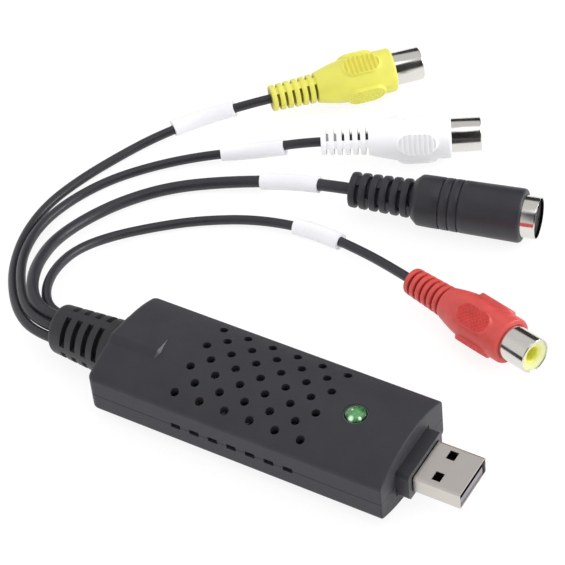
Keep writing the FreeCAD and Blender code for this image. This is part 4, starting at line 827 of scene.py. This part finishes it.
def make_label(name, cord):
    """A paper sleeve round the cord, slightly oval, folded in onto the cord at both ends."""
    length, shift, first_rise, last_rise = LABELS[name]
    middle = Vector(ROUTES[name][LABEL_POINT]) * MM
    line = stretch_of(centreline(cord), middle, length / 2 * MM, shift * MM)
    columns = 64
    fold = CORD_DIAMETER[name] / 2 + LABEL_FOLD_GAP
    vertices = []
    last = len(line) - 1
    for index, point in enumerate(line):
        ahead = (line[min(index + 1, last)] - line[max(index - 1, 0)]).normalized()
        side = Vector((0, 0, 1)).cross(ahead).normalized()
        above = ahead.cross(side)
        share = index / last
        rise = first_rise + (last_rise - first_rise) * share
        walls = (0.0, 1.0) if index == 0 else (1.0, 0.0) if index == last else (0.0,)
        for inward in walls:
            for column in range(columns):
                turn = 2 * math.pi * column / columns
                ripple = (LABEL_RIPPLE * math.sin(3 * turn + 5 * share)
                          * math.sin(math.pi * share + 0.6))
                wide = LABEL_HALF_WIDTH + ripple + (fold - LABEL_HALF_WIDTH - ripple) * inward
                tall = LABEL_HALF_HEIGHT + ripple + (fold - LABEL_HALF_HEIGHT - ripple) * inward
                lift = rise * (1 - inward)
                vertices.append(point + side * (wide * math.cos(turn) * MM)
                                + above * ((tall * math.sin(turn) + lift) * MM))
    rings = len(vertices) // columns
    order = [1, 0] + list(range(2, rings - 2)) + [rings - 1, rings - 2]
    faces = []
    for low, high in zip(order, order[1:]):
        for column in range(columns):
            following = (column + 1) % columns
            faces.append((low * columns + column, low * columns + following,
                          high * columns + following, high * columns + column))
    label = new_piece(name + "_label_skin", vertices, faces, LABEL_PAPER)
    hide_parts(name + "_label")
    return label


for route_name in ROUTES:
    cord_piece = make_cord(route_name)
    pieces = [make_label(route_name, cord_piece)]
    pieces += make_svideo_socket() if route_name == "svideo" else make_rca_socket(route_name)


def make_button():
    """The button cap, turned round its upright axis."""
    bottom = button_low.z / MM
    top = button_high.z / MM
    dome = (BUTTON_RADIUS ** 2 + DOME_RISE ** 2) / (2 * DOME_RISE)
    rings = [(bottom, 0), (bottom, CAP_STEM_RADIUS), (CAP_FLANGE_LOW, CAP_STEM_RADIUS),
             (CAP_FLANGE_LOW, CAP_FLANGE_RADIUS), (CAP_FLANGE_HIGH, CAP_FLANGE_RADIUS),
             (CAP_FLANGE_HIGH, BUTTON_RADIUS), (top - DOME_RISE - 0.1, BUTTON_RADIUS)]
    lean = math.asin(BUTTON_RADIUS / dome)
    steps = 16
    for step in range(steps, 0, -1):
        turn = lean * step / steps
        rings.append((top - dome + dome * math.cos(turn), dome * math.sin(turn) - 0.02))
    rings.append((top, 0))
    upright = Matrix.Translation(BUTTON_CENTRE) @ Matrix.Rotation(-math.pi / 2, 4, "Y")
    vertices, faces = ring_skin(rings, 96, upright)
    finish = green_lens("green_lens", BUTTON_CENTRE, BUTTON_RADIUS * MM)
    cap = new_piece("button_cap_lens", vertices, faces, finish,
                    body=BUTTON_BODY)
    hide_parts("button_cap")


make_button()


# Slope down the front end of the raised flat, in millimetres: how far that end lies from the
# top cover's rear end, the flat's ridge as (across, height), the crown of the cover, how far
# inside the flat the slope starts, and its run at no fall and for each millimetre of fall
FLAT_LENGTH = 12.5
FLAT_RIDGE = [(2.3, 15.9), (-2.9, 16.62), (-3.3, 16.58), (-3.7, 16.4), (-4.9, 15.62)]
CROWN_TOP = 16.0
CROWN_RADIUS = 30.0
SLOPE_SINK = 0.05
SLOPE_FIRST_RUN = 0.12
SLOPE_RUN = 0.68


def make_flat_slope():
    """A short slope from the flat's ridge down to the crowned top, which catches the light; its
    lighter plastic adds a painted highlight.
    """
    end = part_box("top_cover")[0].x / MM + FLAT_LENGTH
    vertices = []
    for across, ridge in FLAT_RIDGE:
        crown = CROWN_TOP - across * across / (2 * CROWN_RADIUS)
        foot = end + SLOPE_FIRST_RUN + SLOPE_RUN * max(0.0, ridge - crown)
        for along, height in ((end - SLOPE_SINK, ridge - 0.01), (foot, crown - 0.04),
                              (end - SLOPE_SINK, crown - 0.15)):
            vertices.append(Vector((along, across, height)) * MM)
    faces = [(0, 1, 2)]
    for start in range(0, len(vertices) - 3, 3):
        for corner in range(3):
            following = (corner + 1) % 3
            faces.append((start + corner, start + 3 + corner, start + 3 + following,
                          start + following))
    last = len(vertices) - 3
    faces.append((last + 2, last + 1, last))
    new_piece("raised_flat_slope", vertices, faces, HIGHLIGHT_EDGE)


make_flat_slope()

for node_name, node_finish in NODE_FINISH.items():
    dress(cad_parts[node_name], node_finish)


def soften_edges(item, width):
    """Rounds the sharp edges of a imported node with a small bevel."""
    bevel = item.modifiers.new("soft_edge", "BEVEL")
    bevel.width = width
    bevel.segments = 2
    bevel.limit_method = "ANGLE"
    bevel.angle_limit = math.radians(50)
    bevel.harden_normals = True


soften_edges(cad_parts["plug_collar"], 0.25 * MM)


# Camera, lights, floor and world

def make_camera():
    """The camera that sees the part as the photograph does."""
    azimuth, elevation, roll = (math.radians(a) for a in (AZIMUTH, ELEVATION, ROLL))
    back = Vector((math.sin(azimuth) * math.cos(elevation),
                   -math.cos(azimuth) * math.cos(elevation), math.sin(elevation)))
    right = Vector((0, 0, 1)).cross(back).normalized()
    above = back.cross(right)
    right, above = (right * math.cos(roll) + above * math.sin(roll),
                    above * math.cos(roll) - right * math.sin(roll))
    camera = bpy.data.objects.new("camera", bpy.data.cameras.new("camera"))
    bpy.context.scene.collection.objects.link(camera)
    camera.data.lens = LENS
    camera.data.sensor_width = SENSOR
    camera.data.clip_start = 0.05
    camera.data.clip_end = 20.0
    turned = Matrix((right, above, back)).transposed().to_4x4()
    camera.matrix_world = Matrix.Translation(CAMERA_PLACE) @ turned
    bpy.context.scene.camera = camera


def area_light(name, place, target, size, power):
    """A rectangular lamp turned to its target; places and sizes in metres, power in watts."""
    data = bpy.data.lights.new(name, "AREA")
    data.shape = "RECTANGLE"
    data.size, data.size_y = size
    data.energy = power
    lamp = bpy.data.objects.new(name, data)
    bpy.context.scene.collection.objects.link(lamp)
    lamp.location = place
    lamp.rotation_euler = (Vector(target) - Vector(place)).to_track_quat("-Z", "Y").to_euler()


def make_lights():
    """A weak lamp above and a stronger one at the sockets' side."""
    middle = (0.0, 0.03, 0.005)
    area_light("key", (0.3, 0.0, 0.95), middle, (0.5, 0.4), 0.7)
    area_light("side", (0.8, 0.66, 0.36), middle, (0.6, 0.35), 5.4)


def math_node(tree, operation, *values):
    """Output of a math node whose inputs are numbers or other nodes' outputs."""
    made = tree.nodes.new("ShaderNodeMath")
    made.operation = operation
    for target, value in zip(made.inputs, values):
        if isinstance(value, float):
            target.default_value = value
        else:
            tree.links.new(value, target)
    return made.outputs[0]


def joined(tree, kind, *outputs):
    """Output of a shader node of that kind, which takes the outputs given in their order."""
    made = tree.nodes.new(kind)
    for target, output in zip(made.inputs, outputs):
        tree.links.new(output, target)
    return made.outputs[0]


def seen_directly(tree):
    """1 for camera, glossy and transmission rays."""
    path = tree.nodes.new("ShaderNodeLightPath")
    first = math_node(tree, "MAXIMUM", path.outputs["Is Camera Ray"],
                      path.outputs["Is Glossy Ray"])
    return math_node(tree, "MAXIMUM", first, path.outputs["Is Transmission Ray"])


def diffuse(tree, level):
    """Output of a matt shader of that grey."""
    shader = tree.nodes.new("ShaderNodeBsdfDiffuse")
    shader.inputs["Color"].default_value = (level, level, level, 1)
    return shader.outputs[0]


# Floor: half its side in metres, how far it lies below the object, its own grey, and the grey
# and the glow that it shows to the camera
FLOOR_HALF_SIDE = 3.0
FLOOR_DROP = 0.05 * MM
FLOOR_GREY = 0.96
SHADOWED_GREY = 0.2
FLOOR_GLOW = 0.84


def make_floor():
    """A wide white floor that keeps a soft shadow and shows white to the camera."""
    corners = [(-1, -1), (1, -1), (1, 1), (-1, 1)]
    mesh = bpy.data.meshes.new("floor")
    mesh.from_pydata([(x * FLOOR_HALF_SIDE, y * FLOOR_HALF_SIDE, -FLOOR_DROP)
                      for x, y in corners], [], [(0, 1, 2, 3)])
    floor = bpy.data.objects.new("floor", mesh)
    bpy.context.scene.collection.objects.link(floor)
    finish = bpy.data.materials.new("floor_white")
    finish.use_nodes = True
    tree = finish.node_tree
    tree.nodes.remove(tree.nodes["Principled BSDF"])
    glow = tree.nodes.new("ShaderNodeEmission")
    glow.inputs["Strength"].default_value = FLOOR_GLOW
    shown = joined(tree, "ShaderNodeAddShader", diffuse(tree, SHADOWED_GREY), glow.outputs[0])
    surface = joined(tree, "ShaderNodeMixShader", seen_directly(tree),
                     diffuse(tree, FLOOR_GREY), shown)
    tree.links.new(surface, tree.nodes["Material Output"].inputs["Surface"])
    mesh.materials.append(finish)


# Room: a direction, two angles off it in degrees, and the levels at those angles. The first
# lights the object, the second shows in metal.
ROOM_LIGHT = ((0.3, -0.95, 0.0), (110, 20), (1.0, 1.26))
ROOM_MIRRORED = ((-0.6, -0.6, 0.5), (36, 15), (0.88, 1.0))

# Dark cards of the room, which show in metal alone: the direction of the middle, and the angles
# off it where the card starts and where it is at its darkest. The strip is what its two halves
# leave of its card.
CARDS = [((0.72, -0.41, 0.56), (29, 26)), ((-0.15, 0.97, 0.16), (33, 27))]
STRIP_CARD = ((0.46, -0.62, 0.64), (33, 25))
STRIP_HALVES = [((-0.87, -0.492, 0.0), (109, 102)), ((0.87, 0.492, 0.0), (109, 102))]
CARD_DARKNESS = 0.95


def turned_towards(tree, place, direction, angles, levels=(0.0, 1.0)):
    """A level that changes with the angle between the ray and a direction."""
    dot = tree.nodes.new("ShaderNodeVectorMath")
    dot.operation = "DOT_PRODUCT"
    dot.inputs[1].default_value = Vector(direction).normalized()
    tree.links.new(place, dot.inputs[0])
    spread = tree.nodes.new("ShaderNodeMapRange")
    spread.inputs["From Min"].default_value = math.cos(math.radians(angles[0]))
    spread.inputs["From Max"].default_value = math.cos(math.radians(angles[1]))
    spread.inputs["To Min"].default_value = levels[0]
    spread.inputs["To Max"].default_value = levels[1]
    tree.links.new(dot.outputs["Value"], spread.inputs["Value"])
    return spread.outputs["Result"]


def make_world():
    """A pale room, a little brighter on the near side, with dark cards that show in metal alone,
    and a plain backdrop for the camera."""
    world = bpy.data.worlds.new("studio")
    bpy.context.scene.world = world
    world.use_nodes = True
    tree = world.node_tree
    tree.nodes.clear()
    output = tree.nodes.new("ShaderNodeOutputWorld")
    path = tree.nodes.new("ShaderNodeLightPath")
    place = tree.nodes.new("ShaderNodeTexCoord").outputs["Generated"]
    lighting = tree.nodes.new("ShaderNodeBackground")
    lighting.inputs["Color"].default_value = (0.98, 0.98, 1.0, 1)
    tree.links.new(turned_towards(tree, place, *ROOM_LIGHT), lighting.inputs["Strength"])
    strip = turned_towards(tree, place, *STRIP_CARD)
    for direction, angles in STRIP_HALVES:
        half = turned_towards(tree, place, direction, angles)
        strip = math_node(tree, "MULTIPLY", strip, half)
    cards = [strip] + [turned_towards(tree, place, *card) for card in CARDS]
    level = turned_towards(tree, place, *ROOM_MIRRORED)
    for card in cards:
        left = math_node(tree, "MULTIPLY_ADD", card, -CARD_DARKNESS, 1.0)
        level = math_node(tree, "MULTIPLY", level, left)
    mirrored = tree.nodes.new("ShaderNodeBackground")
    tree.links.new(level, mirrored.inputs["Strength"])
    backdrop = tree.nodes.new("ShaderNodeBackground")
    room = joined(tree, "ShaderNodeMixShader", path.outputs["Is Glossy Ray"],
                  lighting.outputs[0], mirrored.outputs[0])
    surface = joined(tree, "ShaderNodeMixShader", path.outputs["Is Camera Ray"], room,
                     backdrop.outputs[0])
    tree.links.new(surface, output.inputs["Surface"])


make_camera()
make_lights()
make_floor()
make_world()
bpy.context.scene.view_settings.view_transform = "Standard"
